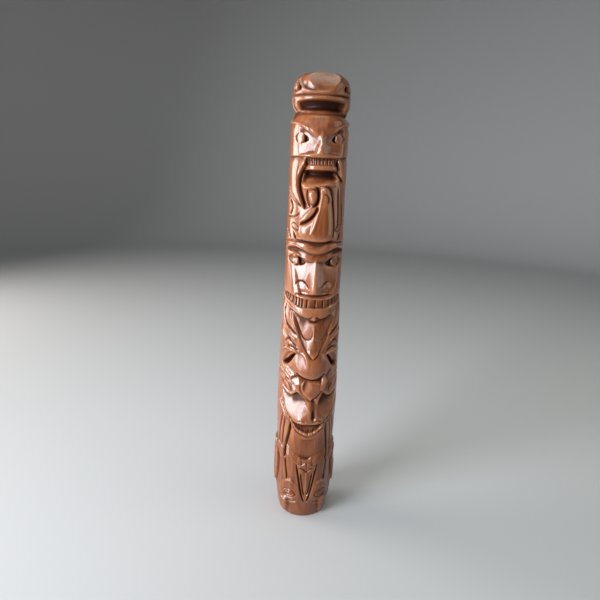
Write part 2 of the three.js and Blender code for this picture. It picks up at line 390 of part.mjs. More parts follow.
ridge2(6, [[-38,48.4],[-27,51],[-17,49.4]], 4.4, 1.1);
gouge2(6, [[-43,33.4],[-38,37],[-27,38.8],[-18,36.8],[-14,32.4],[-20,28.8],[-30,27.8],[-39,29.4],[-43,33.4]], 1.9, 1.3);
gouge2(6, [[-37,33],[-32,35.6],[-25,36],[-20,33.2],[-25,31],[-32,30.6],[-37,33]], 1.8, 1.2);
raised2(3, [[-53,26],[-51,12],[-46,1.6],[-36,1.6],[-31,12],[-29.5,26]], 2.4, 4.4);
gouge2(6, [[-44,25],[-32,22.4],[-18,21.8],[-8,25]], 2.0, 1.2);

// sides and back, plainer
gouge2(5, [[-84,446],[-92,440],[-92,430],[-84,425]], 3.0, 1.4);
gouge2(5, [[-86,322],[-95,314],[-95,300],[-88,290]], 3.0, 1.4);
gouge2(5, [[-84,410],[-90,398],[-88,384],[-80,372]], 3.0, 1.4);
gouge2(5, [[-92,404],[-100,390],[-98,372],[-88,352]], 3.0, 1.4);
gouge2(5, [[-88,232],[-96,218],[-96,204],[-86,192]], 3.0, 1.4);
gouge2(5, [[-96,240],[-106,220],[-106,202],[-94,184]], 3.0, 1.4);
gouge2(5, [[-80,166],[-90,154],[-92,138],[-84,124]], 3.0, 1.4);
for (const a of [-104, -94, -84, -74]) {
    gouge2(5, [[a, 88], [a + 1.5, 64], [a + 4, 42]], 2.4, 1.0);
}

// ---------------------------------------------------------------- the skin as a closed mesh
const log = new THREE.CylinderGeometry(1, 1, HEIGHT, COLS, ROWS);
log.rotateX(Math.PI / 2);
log.rotateZ(Math.PI);                      // column 0 is at the back
{
  const p = log.attributes.position;
  for (let k = 0; k < p.count; k++) {
    const j = Math.round((p.getZ(k) / HEIGHT + 0.5) * ROWS);
    if (Math.hypot(p.getX(k), p.getY(k)) < 0.5) { p.setXYZ(k, 0, 0, heights[j]); continue; }
    const turn = (Math.atan2(p.getX(k), -p.getY(k)) / (2 * Math.PI) + 1.5) % 1;
    const i = Math.round(turn * COLS) % COLS;
    const a = rad(angles[i] - CENTRE), r = skin[j][i];
    p.setXYZ(k, r * Math.sin(a), -r * Math.cos(a), heights[j]);
  }
}
log.deleteAttribute('normal');
log.deleteAttribute('uv');
const dense = mergeVertices(log, 1e-4);

// ---------------------------------------------------------------- thinning by edge collapse
// Each edge is rated by how far its collapse moves the surface, and the cheapest goes first.
function thin(geometry, target) {
  const P = Array.from(geometry.attributes.position.array);
  const nv = P.length / 3, F = [];
  const idx = geometry.index.array;
  const at = Array.from({ length: nv }, () => new Set());
  for (let k = 0; k < idx.length; k += 3) {
    const f = [idx[k], idx[k + 1], idx[k + 2]];
    if (f[0] === f[1] || f[1] === f[2] || f[2] === f[0]) continue;
    for (const v of f) at[v].add(F.length);
    F.push(f);
  }
  const normal = (a, b, c) => {
    const ux = b[0] - a[0], uy = b[1] - a[1], uz = b[2] - a[2], vx = c[0] - a[0], vy = c[1] - a[1], vz = c[2] - a[2];
    return [uy * vz - uz * vy, uz * vx - ux * vz, ux * vy - uy * vx];
  };
  const pos = (v) => [P[3 * v], P[3 * v + 1], P[3 * v + 2]];
  const Q = Array.from({ length: nv }, () => new Float64Array(10));
  F.forEach((f) => {
    const [a, b, c] = f.map(pos), n = normal(a, b, c), l = Math.hypot(...n);
    if (l < 1e-12) return;
    const [x, y, z] = n.map((q) => q / l), d = -(x * a[0] + y * a[1] + z * a[2]), w = l;
    const q = [x * x, x * y, x * z, x * d, y * y, y * z, y * d, z * z, z * d, d * d];
    for (const v of f) for (let i = 0; i < 10; i++) Q[v][i] += q[i] * w;
  });
  const cost = (q, p) => {
    const [x, y, z] = p;
    return q[0] * x * x + 2 * q[1] * x * y + 2 * q[2] * x * z + 2 * q[3] * x + q[4] * y * y + 2 * q[5] * y * z + 2 * q[6] * y + q[7] * z * z + 2 * q[8] * z + q[9];
  };
  const fixed = (v) => P[3 * v + 2] < 1e-6 ? 1 : P[3 * v + 2] > HEIGHT - 1e-6 ? 2 : 0;   // the flat ends stay flat
  const stamp = new Int32Array(nv);
  const heap = [];
  const less = (a, b) => a[0] < b[0];
  const push = (e) => {
    let i = heap.push(e) - 1;
    while (i > 0) { const m = (i - 1) >> 1; if (!less(heap[i], heap[m])) break; [heap[i], heap[m]] = [heap[m], heap[i]]; i = m; }
  };
  const pop = () => {
    const top = heap[0], last = heap.pop();
    if (heap.length) {
      heap[0] = last;
      for (let i = 0; ;) {
        let m = i; const l = 2 * i + 1, r = l + 1;
        if (l < heap.length && less(heap[l], heap[m])) m = l;
        if (r < heap.length && less(heap[r], heap[m])) m = r;
        if (m === i) break;
        [heap[i], heap[m]] = [heap[m], heap[i]]; i = m;
      }
    }
    return top;
  };
  const rate = (u, v) => {
    const fu = fixed(u), fv = fixed(v), q = Q[u].map((x, i) => x + Q[v][i]);
    const choices = [];
    if (fu === fv || fv) choices.push(pos(v));
    if (fu === fv || fu) choices.push(pos(u));
    if (fu && fv && fu !== fv) return;
    if (fu === fv) choices.push(pos(u).map((x, i) => (x + pos(v)[i]) / 2));
    let best = null;
    for (const p of choices) { const c = cost(q, p); if (!best || c < best[0]) best = [c, u, v, p, stamp[u], stamp[v]]; }
    const len = Math.hypot(...pos(u).map((x, i) => x - pos(v)[i]));
    best[0] += 1e-5 * len * len;
    push(best);
  };
  const around = (v) => { const s = new Set(); for (const f of at[v]) for (const w of F[f]) if (w !== v) s.add(w); return s; };
  for (let v = 0; v < nv; v++) for (const w of around(v)) if (v < w) rate(v, w);
  let live = F.length;
  while (live > target && heap.length) {
    const [, u, v, p, su, sv] = pop();
    if (stamp[u] !== su || stamp[v] !== sv) continue;
    const nu = around(u), nw = around(v);
    let shared = 0;
    for (const w of nu) if (nw.has(w)) shared++;
    if (shared !== 2) continue;
    let ok = true;
    for (const [s, o] of [[u, v], [v, u]]) {
      for (const f of at[s]) {
        if (F[f].includes(o)) continue;
        const was = normal(...F[f].map(pos)), now = normal(...F[f].map((w) => (w === s ? p : pos(w))));
        const la = Math.hypot(...was), lb = Math.hypot(...now);
        const edges = F[f].map((w, i) => { const a = w === s ? p : pos(w), x = F[f][(i + 1) % 3], b = x === s ? p : pos(x); return Math.hypot(a[0] - b[0], a[1] - b[1], a[2] - b[2]); });
        const longest = Math.max(...edges);
        if (lb < 0.06 * longest * longest || was[0] * now[0] + was[1] * now[1] + was[2] * now[2] < 0.35 * la * lb) { ok = false; break; }
      }
      if (!ok) break;
    }
    if (!ok) continue;
    for (const f of [...at[u]]) {
      if (F[f].includes(v)) { for (const w of F[f]) at[w].delete(f); F[f] = null; live--; }
    }
    for (const f of at[u]) { F[f] = F[f].map((w) => (w === u ? v : w)); at[v].add(f); }
    at[u].clear();
    [P[3 * v], P[3 * v + 1], P[3 * v + 2]] = p;
    for (let i = 0; i < 10; i++) Q[v][i] += Q[u][i];
    stamp[u] = -1;
    stamp[v]++;
    for (const w of around(v)) rate(v, w);
  }
  const names = new Map(), out = [], index = [];
  for (const f of F) {
    if (!f) continue;
    for (const v of f) {
      if (!names.has(v)) { names.set(v, names.size); out.push(...pos(v)); }
      index.push(names.get(v));
    }
  }
  const g = new THREE.BufferGeometry();
  g.setAttribute('position', new THREE.Float32BufferAttribute(out, 3));
  g.setIndex(index);
  g.computeVertexNormals();
  return g;
}

const wood = new THREE.MeshStandardMaterial({ color: 0x8a4a2c, roughness: 0.35, metalness: 0, flatShading: true });
const pole = new THREE.Mesh(thin(dense, FACETS), wood);
pole.name = 'totem_pole';

const group = new THREE.Group();
group.add(pole);

export default group;
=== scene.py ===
import math
import bpy
import numpy as np
from mathutils import Matrix, Vector


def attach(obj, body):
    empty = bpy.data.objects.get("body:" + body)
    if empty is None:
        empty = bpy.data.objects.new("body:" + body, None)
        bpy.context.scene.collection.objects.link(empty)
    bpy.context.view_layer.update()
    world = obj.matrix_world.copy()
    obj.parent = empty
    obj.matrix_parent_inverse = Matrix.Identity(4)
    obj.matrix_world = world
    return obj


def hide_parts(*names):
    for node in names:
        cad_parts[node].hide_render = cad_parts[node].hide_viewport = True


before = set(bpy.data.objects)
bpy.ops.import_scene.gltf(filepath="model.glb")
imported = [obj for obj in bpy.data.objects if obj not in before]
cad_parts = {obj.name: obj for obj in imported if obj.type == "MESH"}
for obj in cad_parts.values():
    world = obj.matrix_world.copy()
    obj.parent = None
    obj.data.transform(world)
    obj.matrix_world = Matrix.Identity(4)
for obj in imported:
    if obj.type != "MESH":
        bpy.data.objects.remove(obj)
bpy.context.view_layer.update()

# The pole's skin is a chart of angle by height that holds the radius of the wood in millimetres.
# Each knife cut, gouge cut, raised shape and flat facet is a stroke on the chart: the same strokes
# as the CAD solid's, on a finer chart, with the fine knife work added.

HEIGHT = 500.0
COLS = 440
ROWS = 1300
CENTRE = 5.0
MM_PER_DEG = 0.55
BACK_FLAT = 0.93
KERF = 0.45
TRIS = 186000

OUTLINE = [[0, 28.2], [3, 29.4], [8, 30.6], [15, 31.6], [30, 33.3], [45, 34.2], [60, 34.4], [78, 34.3],
  [90, 33.4], [115, 34.6], [146, 35.2], [168, 34.9], [187, 34.4], [206, 34], [231, 33.6], [253, 32.8],
  [267, 32.2], [279, 31.7], [307, 31.3], [324, 31.4], [334, 31.4], [346, 30.9], [362, 30.8], [378, 30.4],
  [404, 30.5], [425, 30.2], [440, 30.4], [450, 30.5], [456, 30.3], [459.5, 29], [462.5, 26.9], [465, 26.9],
  [468, 28.4], [472, 29.6], [480, 29.7], [486, 29.2], [490, 28.6], [493, 27.7], [496, 26.1], [498.4, 23.5], [500, 19.5]]
OUTLINE = np.array(OUTLINE)

t = 2 * np.arange(COLS) / COLS - 1
ANG = CENTRE + 180 * t * (0.72 + 0.28 * t * t)
ZED = HEIGHT * np.arange(ROWS + 1) / ROWS
X1 = ANG * MM_PER_DEG


def smooth(x):
    u = np.clip(x, 0, 1)
    return u * u * (3 - 2 * u)


def outline(z):
    return np.interp(z, OUTLINE[:, 0], OUTLINE[:, 1])


def log_radius():
    # slight rounding of the outline's corners, and the flattened back
    r = outline(ZED)
    k = np.exp(-0.5 * (np.arange(-6, 7) / 2.2) ** 2)
    r = np.convolve(np.pad(r, 6, mode="edge"), k / k.sum(), "valid")
    back = 180 - np.abs(ANG - CENTRE)
    flat = np.where(back < 60, BACK_FLAT / np.cos(np.radians(np.minimum(back, 60))), 9.0)
    return r[:, None] * np.minimum(1.0, flat)[None, :]


BLANK = log_radius()
SKIN = BLANK.copy()


def window(x0, x1, z0, z1):
    i = np.nonzero((X1 >= x0) & (X1 <= x1))[0]
    j0, j1 = max(0, int(z0 / HEIGHT * ROWS)), min(ROWS, int(math.ceil(z1 / HEIGHT * ROWS)))
    if len(i) == 0 or j1 < j0:
        return None
    js, is_ = slice(j0, j1 + 1), slice(i[0], i[-1] + 1)
    X, Z = np.meshgrid(X1[is_], ZED[js])
    return js, is_, X, Z


def path(points, closed=False, per=6):
    p = np.array([[a * MM_PER_DEG, z] for a, z in points], float)
    n = len(p)
    out = []
    spans = n if closed else n - 1
    for k in range(spans):
        if closed:
            a, b, c, d = p[(k - 1) % n], p[k], p[(k + 1) % n], p[(k + 2) % n]
        else:
            b, c = p[k], p[k + 1]
            a = p[k - 1] if k else 2 * b - c
            d = p[k + 2] if k + 2 < n else 2 * c - b
        for s in range(per):
            u = s / per
            out.append(0.5 * (2 * b + (c - a) * u + (2 * a - 5 * b + 4 * c - d) * u * u + (3 * b - a - 3 * c + d) * u ** 3))
    out.append(p[0] if closed else p[-1])
    return np.array(out)


def nearest(line, X, Z):
    best = np.full(X.shape, 1e18)
    along = np.zeros(X.shape)
    side = np.ones(X.shape)
    n = len(line) - 1
    for k in range(n):
        (ax, az), (bx, bz) = line[k], line[k + 1]
        dx, dz = bx - ax, bz - az
        u = np.clip(((X - ax) * dx + (Z - az) * dz) / (dx * dx + dz * dz + 1e-12), 0, 1)
        ex, ez = X - ax - u * dx, Z - az - u * dz
        d = ex * ex + ez * ez
        m = d < best
        best = np.where(m, d, best)
        along = np.where(m, (k + u) / n, along)
        side = np.where(m, np.where(dx * (Z - az) - dz * (X - ax) < 0, 1.0, -1.0), side)
    return np.sqrt(best), along, side


def inside(line, X, Z):
    hit = np.zeros(X.shape, bool)
    for k in range(len(line) - 1):
        (ax, az), (bx, bz) = line[k], line[k + 1]
        if az != bz:
            hit ^= ((az > Z) != (bz > Z)) & (X < (bx - ax) * (Z - az) / (bz - az) + ax)
    return np.where(hit, 1.0, -1.0) * nearest(line, X, Z)[0]


def span(line, pad):
    return line[:, 0].min() - pad, line[:, 0].max() + pad, line[:, 1].min() - pad, line[:, 1].max() + pad


def ends(u):
    return np.minimum(1, 0.35 + 5 * np.minimum(u, 1 - u))


def stroke(points, width, profile):
    line = path(points)
    w = window(*span(line, width / 2 + 1))
    if w is None:
        return
    js, is_, X, Z = w
    d, u, _ = nearest(line, X, Z)
    f = ends(u)
    q = d / (width / 2 * f)
    SKIN[js, is_] += np.where(q < 1, profile(np.minimum(q, 1)) * f, 0)


def groove(p, width, depth):
    stroke(p, width, lambda u: -depth * (1 - u))


def gouge(p, width, depth):
    stroke(p, width, lambda u: -depth * (1 - u * u) ** 1.5)


def ridge(p, width, height):
    stroke(p, width, lambda u: height * (1 - u * u) ** 1.5)


def edge(points, width, depth, side):
    line = path(points)
    js, is_, X, Z = window(*span(line, width))
    d, u, s = nearest(line, X, Z)
    ok = (d < width) & (u > 0) & (u < 1)
    cut = depth * ends(u) * smooth(0.5 + s * side * d / KERF) * np.maximum(0, 1 - d / width) ** 1.2
    SKIN[js, is_] -= np.where(ok, cut, 0)


def pocket(points, depth, bevel):
    line = path(points, True)
    js, is_, X, Z = window(*span(line, 1))
    SKIN[js, is_] -= depth * smooth(inside(line, X, Z) / bevel)


def raised(points, height, bevel):
    pocket(points, -height, bevel)


def level(points, depth, bevel):
    line = path(points, True)
    js, is_, X, Z = window(*span(line, 1))
    SKIN[js, is_] += smooth(inside(line, X, Z) / bevel) * np.minimum(0, BLANK[js, is_] - depth - SKIN[js, is_])


def scoop(points, bevel, z1, d1, z0, d0):
    # hollow whose floor runs from d1 deep at height z1 to d0 deep at height z0
    line = path(points, True)
    js, is_, X, Z = window(*span(line, 1))
    deep = d0 + (d1 - d0) * np.clip((Z - z0) / (z1 - z0), 0, 1)
    SKIN[js, is_] += smooth(inside(line, X, Z) / bevel) * np.minimum(0, BLANK[js, is_] - deep - SKIN[js, is_])


def swell(points, height, bevel):
    # rounded body: its sides rise steeply and turn over into a crown
    line = path(points, True)
    js, is_, X, Z = window(*span(line, 1))
    u = np.clip(inside(line, X, Z) / bevel, 0, 1)
    SKIN[js, is_] += height * np.sqrt(1 - (1 - u) ** 2)


def planecut(points, bevel, a0, z0, depth, az, tilt):
    line = path(points, True)
    js, is_, X, Z = window(*span(line, 1))
    ct, st = math.cos(math.radians(tilt)), math.sin(math.radians(tilt))
    c = (outline(z0) - depth) * ct * math.cos(math.radians(a0 - az)) + z0 * st
    face = ct * np.maximum(0.25, np.cos(np.radians(X / MM_PER_DEG - az)))
    SKIN[js, is_] -= smooth(inside(line, X, Z) / bevel) * np.maximum(0, SKIN[js, is_] - (c - Z * st) / face)


def soften(points, bevel, size):
    # rounds the work off inside an area, as sandpaper does
    line = path(points, True)
    x0, x1, z0, z1 = span(line, 1)
    js, is_, X, Z = window(x0 - 3 * size, x1 + 3 * size, z0 - 3 * size, z1 + 3 * size)
    a = SKIN[js, is_]
    for axis, s in ((0, size * ROWS / HEIGHT), (1, size / np.diff(X1[is_]).mean())):
        n = int(3 * s) + 1
        k = np.exp(-0.5 * (np.arange(-n, n + 1) / s) ** 2)
        a = np.apply_along_axis(lambda v: np.convolve(np.pad(v, n, mode="edge"), k / k.sum(), "valid"), axis, a)
    SKIN[js, is_] += smooth(inside(line, X, Z) / bevel) * (a - SKIN[js, is_])


PAINTED_SHADE = np.zeros_like(SKIN)


def painted_shade(points, bevel, amount):
    # painted shade: the colour in this area is darkened where shade falls, and its varnish is dulled
    line = path(points, True)
    js, is_, X, Z = window(*span(line, 1))
    PAINTED_SHADE[js, is_] = np.maximum(PAINTED_SHADE[js, is_], amount * smooth(inside(line, X, Z) / bevel))


def oval(a, z0, hw, hh, profile):
    w, x0 = hw * MM_PER_DEG, a * MM_PER_DEG
    js, is_, X, Z = window(x0 - w, x0 + w, z0 - hh, z0 + hh)
    q = np.hypot((X - x0) / w, (Z - z0) / hh)
    SKIN[js, is_] += np.where(q < 1, profile(np.minimum(q, 1), min(w, hh)), 0)


def disc(a, z, hw, hh, height, bevel):
    oval(a, z, hw, hh, lambda q, size: height * smooth((1 - q) * size / bevel))


def blob(a, z, hw, hh, height):
    oval(a, z, hw, hh, lambda q, size: height * (1 - q * q) ** 1.2)


def tent(a0, knots):
    k = np.array(sorted(knots))
    js, is_, X, Z = window(-200, 200, k[0, 0], k[-1, 0])
    u = np.abs(X / MM_PER_DEG - a0) / np.interp(Z, k[:, 0], k[:, 1])
    ok = (Z >= k[0, 0]) & (Z <= k[-1, 0])
    SKIN[js, is_] += np.where(ok, np.interp(Z, k[:, 0], k[:, 2]) * np.maximum(0, 1 - u), 0)


def ring(z0, width, depth):
    js, is_, X, Z = window(-200, 200, z0 - width / 2, z0 + width / 2)
    u = np.minimum(1, np.abs(Z - z0) / (width / 2))
    SKIN[js, is_] -= depth * (1 - u * u) ** 1.5


def flip(c, points):
    return [[2 * c - a, z] for a, z in points]


def both(f):
    def g(c, points, *rest):
        f(points, *rest)
        f(flip(c, points), *rest)
    return g


groove2, gouge2, ridge2, pocket2, raised2 = both(groove), both(gouge), both(ridge), both(pocket), both(raised)


def disc2(c, a, *rest):
    disc(a, *rest)
    disc(2 * c - a, *rest)


def blob2(c, a, *rest):
    blob(a, *rest)
    blob(2 * c - a, *rest)


# ================= top head: wide-mouthed animal, z 462 to 500
planecut([[-110,512],[-110,490],[-30,490],[-24,498],[-20,512]], 3.0, -52, 495.5, 0.2, -58, 46)
planecut([[120,512],[120,492],[46,492],[40,499],[36,512]], 3.0, 64, 497.5, 0.2, 68, 46)
planecut([[-74,514],[-60,498],[-50,491.6],[-38,486],[-24,483.2],[-8,482.2],[5,482],[20,482.2],[36,483.8],[50,487.6],[62,494],[78,514]], 2.6, 5, 484, 0.2, 5, 35)
edge([[-55,497],[-50,492.4],[-43,488],[-34,484.8],[-23,482.8],[-10,481.9],[6,481.6],[20,482]], 10.0, 2.0, -1)
soften([[-12,494],[-10,480.8],[5,479.8],[24,480.8],[30,492],[10,496]], 4.0, 2.4)
ridge([[-61,494.6],[-55,493],[-48,489.4],[-39,485],[-29,482],[-15,480.8]], 3.4, 0.8)
ridge([[62,492],[54,489],[44,485],[34,482.6]], 3.6, 0.5)
pocket2(3, [[-72,486.4],[-64,491.6],[-56,492.4],[-48,489.2],[-41.5,485],[-50,482.6],[-63,482.6]], 1.5, 1.2)
disc2(3, -59, 487, 5.8, 4.0, 2.4, 0.9)
pocket2(3, [[-54,491],[-47,488.4],[-41.5,485],[-53,483.4]], 2.2, 1.1)
scoop([[-57,463],[-60,468],[-54,474.4],[-20,475.6],[5,475.8],[30,475.6],[60,474.4],[66,468],[64,463],[42,460.6],[5,460.2],[-34,460.6]], 8.0, 474, 8.5, 461, 3.2)
edge([[-54,472.8],[-30,473.6],[5,473.8],[40,473.6],[62,472.8]], 13.0, 5.8, 1)
groove([[-84,479.8],[-50,479.2],[-20,478.6],[5,478.3],[30,478.6],[56,479.2],[90,479.8]], 2.2, 1.9)
edge([[-62,479.4],[-40,478.8],[5,478],[45,478.8],[66,479.4]], 5.0, 0.8, 1)
gouge2(3, [[-80,479],[-76,473],[-70,468],[-60,464.4]], 3.0, 2.0)
# ================= second figure: face, z 420 to 459
gouge([[-76,462.4],[-50,461.6],[5,460.8],[60,461.6],[86,462.4]], 7.0, 3.0)
scoop([[-86,464],[-76,455.6],[-62,453.6],[-46,452.0],[-31,449.2],[-14,445.2],[5,441],[24,445.2],[41,449.2],[56,452.0],[72,453.6],[86,455.6],[96,464]], 2.4, 460, 2.6, 447, 0.3)
planecut([[-44,464],[-38,453],[-28,449.4],[-13,445.2],[5,441.4],[23,445.2],[38,449.4],[48,453],[54,464]], 4.0, 5, 446, 0.3, 5, 13)
planecut([[-66,452.8],[-46,450.8],[-31,447.8],[-15,443.6],[0,439.6],[5,437],[5,425],[-14,422.6],[-40,422.4],[-60,424],[-70,432],[-72,444]], 2.2, 5, 437, 0.0, -19, 1)
planecut([[76,452.8],[56,450.8],[41,447.8],[25,443.6],[10,439.6],[5,437],[5,425],[24,422.6],[50,422.4],[70,424],[80,432],[82,444]], 2.2, 5, 437, 0.0, 29, 1)
soften([[-22,449],[-8,447],[5,446],[18,447],[32,449],[30,441],[16,436],[-6,436],[-20,441]], 3.0, 2.0)
edge([[-96,453.4],[-78,453.2],[-58,452.8],[-45,451.4],[-34,449.2],[-26,447.2]], 8.0, 1.5, 1)
edge([[106,453.4],[88,453.2],[68,452.8],[55,451.4],[44,449.2],[36,447.2]], 8.0, 1.5, -1)
tent(6, [[446,3,0.2],[441,7,1.0],[436,9,1.6],[431,11,2.4],[427,12,3.0],[424.6,12,2.0],[422.4,11,0]])
blob2(6.5, -2, 428, 7.5, 5.0, 0.9)
blob(5, 422.6, 42, 5.2, 1.2)
soften([[-52,434],[-30,437],[-12,434],[5,433],[22,434],[40,437],[62,434],[62,424.4],[5,423.4],[-52,424.4]], 3.0, 1.3)
pocket2(2, [[-54,439.6],[-48,442.8],[-39.6,444.2],[-31,442],[-22,437.4],[-30.6,434.6],[-39.6,433.8],[-48,435.6]], 1.3, 0.9)
disc2(2, -39, 439, 8.6, 5.4, 1.7, 0.8)
pocket([[-31.5,442],[-21.6,437.4],[-31,434.8]], 2.2, 0.8)
pocket([[35.5,442],[25.6,437.4],[35,434.8]], 1.2, 0.8)
edge([[-96,422.8],[-70,421.7],[-45,421.3],[-22,420.6],[5,420.2],[32,420.6],[46,421],[70,422.6],[100,423.8]], 7.0, 2.0, 1)
# ================= mouth of the second figure, z 391 to 420
level([[-25,420.4],[-28.5,412.5],[-31,408],[5,407.6],[46,408],[46,412.5],[45,420.4],[5,420]], 2.6, 1.2)
raised([[-32,408.2],[-30,412.9],[5,413.1],[45,412.9],[46,408.2],[5,407.8]], 1.3, 1.2)
scoop([[-29,409.2],[-36,404.5],[-40,398.5],[-36,393.4],[-20,391.4],[-4,391.8],[10,393],[26,394.8],[40,395.4],[50,399.4],[51,404.4],[45,409.2],[5,408.8]], 5.5, 409, 9.0, 393, 2.4)
edge([[-33,407.9],[-20,408.1],[5,408.3],[30,408.1],[47,407.9]], 9.0, 4.6, 1)
ridge([[-30,390.4],[-14,390.8],[2,392.4],[14,394.2],[26,394.8],[38,393.4]], 4.6, 1.6)
# ================= long tusks and the gripped fish, z 337 to 420
edge([[-25,419.5],[-30,411.5],[-38,404.5],[-42,398],[-40.5,390],[-34.5,382],[-28.5,375.5],[-23,369]], 12.0, 3.8, -1)
gouge([[-29,411.5],[-36.5,404.5],[-40,398],[-38.5,390],[-32.5,382],[-27,375.5],[-23.5,371]], 4.0, 2.4)
ridge([[-38,419],[-43,411],[-46,402],[-45.5,394],[-40.5,385.4],[-33.5,377.6],[-26,370.4]], 3.8, 1.5)
edge([[46,419],[49,410.5],[53,403.6],[60,397.6]], 7.0, 2.6, 1)
gouge([[45,417],[48.5,409.5],[52.5,403.2],[60,398]], 4.4, 3.4)
swell([[-16,382.4],[-14.6,387],[-8,389],[-1.6,387.6],[1.6,383.4],[0.8,378.2],[-4,374.6],[-11.4,375.4]], 3.6, 4.6)
gouge([[-4,392.6],[2.4,390],[4.8,384],[3.8,378],[-0.6,373.2],[-7,371.2]], 3.4, 2.8)
gouge([[-17.5,389.6],[-19.6,383],[-17.4,376.5],[-12,372.4]], 2.6, 1.3)
swell([[9,392],[22,390.6],[29.5,380],[34,366],[36.5,352],[35,342],[25,337],[5,335.8],[-16,337],[-30,341],[-34,348],[-29,353.6],[-15,356.6],[-5,361],[1,367.6],[4,375],[6,384]], 4.6, 12.0)
ridge([[8,391],[8.5,381],[5.5,372],[2.5,363],[-1,353],[-7,344]], 5.0, 1.2)
ridge([[9,389.6],[20,389],[28,385],[27,377]], 3.4, 1.1)
gouge([[13,385],[19,384],[22,379.6],[20,375]], 2.8, 1.3)
gouge([[26,391],[31.5,380],[35.5,366],[38.5,352],[37.5,341]], 2.8, 1.8)
raised([[3,374.6],[-7,372.6],[-20,365.6],[-33,355.6],[-18,357.3],[-6,362.3],[1,368]], 2.4, 2.2)
gouge([[5.5,373.6],[1.5,367],[-7,360.8],[-18,355.9],[-31,353.4]], 3.0, 2.6)
pocket2(6, [[-48.5,346.4],[-42,343.4],[-38.4,338.4],[-45,338.8]], 3.6, 1.4)
gouge([[-66,378.2],[-58,375.4],[-54,370.6],[-56.5,366],[-62,362.8]], 4.0, 3.2)
gouge([[-76,361.4],[-57,360.6],[-42,361.6],[-33,365.4]], 2.6, 1.4)
gouge([[98,361.4],[84,360.6],[72,363]], 2.6, 1.2)
gouge([[-74,348],[-63,344.6],[-53,338]], 3.0, 1.4)
gouge([[96,352],[84,346],[76,338]], 3.0, 1.2)
gouge([[59,377],[63,366],[65,352]], 3.4, 2.4)
gouge([[45,392],[48,375],[50,358],[49,349]], 2.6, 1.3)
# ================= third figure: face, z 251 to 335
gouge([[-78,335.4],[-50,336],[-24,336.4],[5,335.4],[34,336.4],[60,336],[88,335.4]], 3.4, 1.3)
edge([[-40,338.6],[-24,337.2],[5,335.9],[24,336.6],[40,338.6]], 5.0, 1.8, 1)
planecut([[-80,336],[-74,329],[-48,330.4],[-28,328],[-12,325],[6,323.4],[24,325],[38,328],[58,330.4],[84,329],[90,336]], 2.4, 5, 327, 0.1, 5, 20)
scoop([[-76,328],[-66,324.6],[-54,323.4],[-42,323],[-31,320.4],[-22,315.6],[-10,313],[5,311.6],[20,313],[32,315.6],[41,320.4],[52,323],[64,323.4],[76,324.6],[84,328],[58,331.4],[38,330.2],[24,327],[6,325.4],[-12,327],[-28,330.2],[-48,331.4]], 3.2, 326, 2.7, 317, 0.2)
ridge2(5, [[-64,331.6],[-46,332.2],[-31,330.6],[-20,327.4]], 3.0, 1.0)
planecut([[-60,317],[-46,321.4],[-30,321.6],[-16,319],[5,318],[22,319],[24,280],[5,278],[-14,278],[-27,277.6],[-37,288],[-48,302]], 4.6, 5, 300, -0.6, -24, 2)
planecut([[70,317],[56,321.4],[40,321.6],[26,319],[5,318],[-12,319],[-14,280],[5,278],[24,278],[38,277.6],[52,286],[66,300]], 4.6, 5, 300, -0.6, 33, 2)
soften([[-62,314],[-46,313],[-35,302],[-28,290],[-24,280.6],[-42,280.6],[-54,290],[-62,302]], 3.0, 2.8)
tent(6, [[319,4,0.2],[312,9,0.9],[304,15,1.8],[296,20,3.0],[289,23,4.2],[284.5,23,4.4],[281.6,21,3.2],[279.6,19,0]])
pocket2(4, [[-62,317.4],[-53,321],[-42,322.6],[-32,320.8],[-18,313.8],[-30,310.6],[-40,309.2],[-53,312.4]], 1.6, 1.3)
disc2(4, -42, 316, 8.0, 6.0, 1.8, 0.8)
pocket([[-34.5,321.0],[-17,313.6],[-33,310.0]], 2.6, 1.1)
pocket([[42.5,321.0],[26,313.6],[41,310.0]], 1.4, 1.1)
edge([[-34,280.3],[-14,279.7],[6,279.3],[26,279.7],[46,280.3]], 6.0, 3.0, 1)
blob2(6, -22, 286, 14, 6.6, 0.8)
gouge([[-36,289.4],[-32.5,292.8],[-23,294.0],[-13,291.2],[-3.4,285.2]], 1.8, 1.7)
gouge([[42,293],[35,294.0],[25,291.2],[16,286]], 1.8, 0.8)
level([[-76,276.8],[-64,279.6],[-46,278.6],[-30,276.6],[-12,275.2],[10,274.6],[34,274.6],[48,276.6],[62,279.2],[82,277.6],[72,272.6],[60,269.6],[46,267.2],[33,265],[10,264.2],[-20,264.4],[-35,266.6],[-48,269.6],[-62,272.2]], 2.0, 1.0)
edge([[86,280],[72,272],[62,266.6],[46,260.6],[34,256],[20,252.2],[6,251],[-10,253.2],[-25,256.2],[-40,260],[-56,265.2],[-66,269],[-76,275]], 10.0, 3.2, -1)
gouge2(4, [[-62,270],[-48,266.6],[-38,263.4],[-27,259.4]], 2.0, 1.2)
# ================= beak and folded arms, z 183 to 262
gouge2(8, [[-67,266],[-63,254],[-54,245],[-38,238.8],[-23,233.4]], 4.2, 2.5)
ridge2(8, [[-63,239.4],[-48,234.6],[-34,230.8],[-25,227.4]], 3.4, 1.6)
edge([[-86,247],[-74,241],[-60,235.6],[-46,231.6],[-32,228.2]], 7.0, 1.8, 1)
edge([[102,247],[90,241],[76,235.6],[62,231.6],[48,228.2]], 7.0, 1.8, -1)
gouge2(8, [[-45,259],[-36,247],[-27,238]], 2.2, 0.9)
raised([[-27,240],[-20,230.5],[-13,224],[-6,217.4],[1,212],[8,208.6],[15,212],[22,217.4],[29,223.5],[36,230.5],[43,240],[32,246],[8,249],[-16,246]], 1.5, 1.6)
planecut([[-46,261.5],[-27,238],[-13,223],[0,211.5],[8,205.6],[8,252.4],[-6,254.2],[-22,257],[-36,261]], 1.4, 8, 236, -1.4, -20.5, 5.8)
planecut([[62,261.5],[43,238],[29,223],[16,211.5],[8,205.6],[8,252.4],[22,254.2],[38,257],[52,261]], 1.4, 8, 236, -0.7, 31, 5.5)
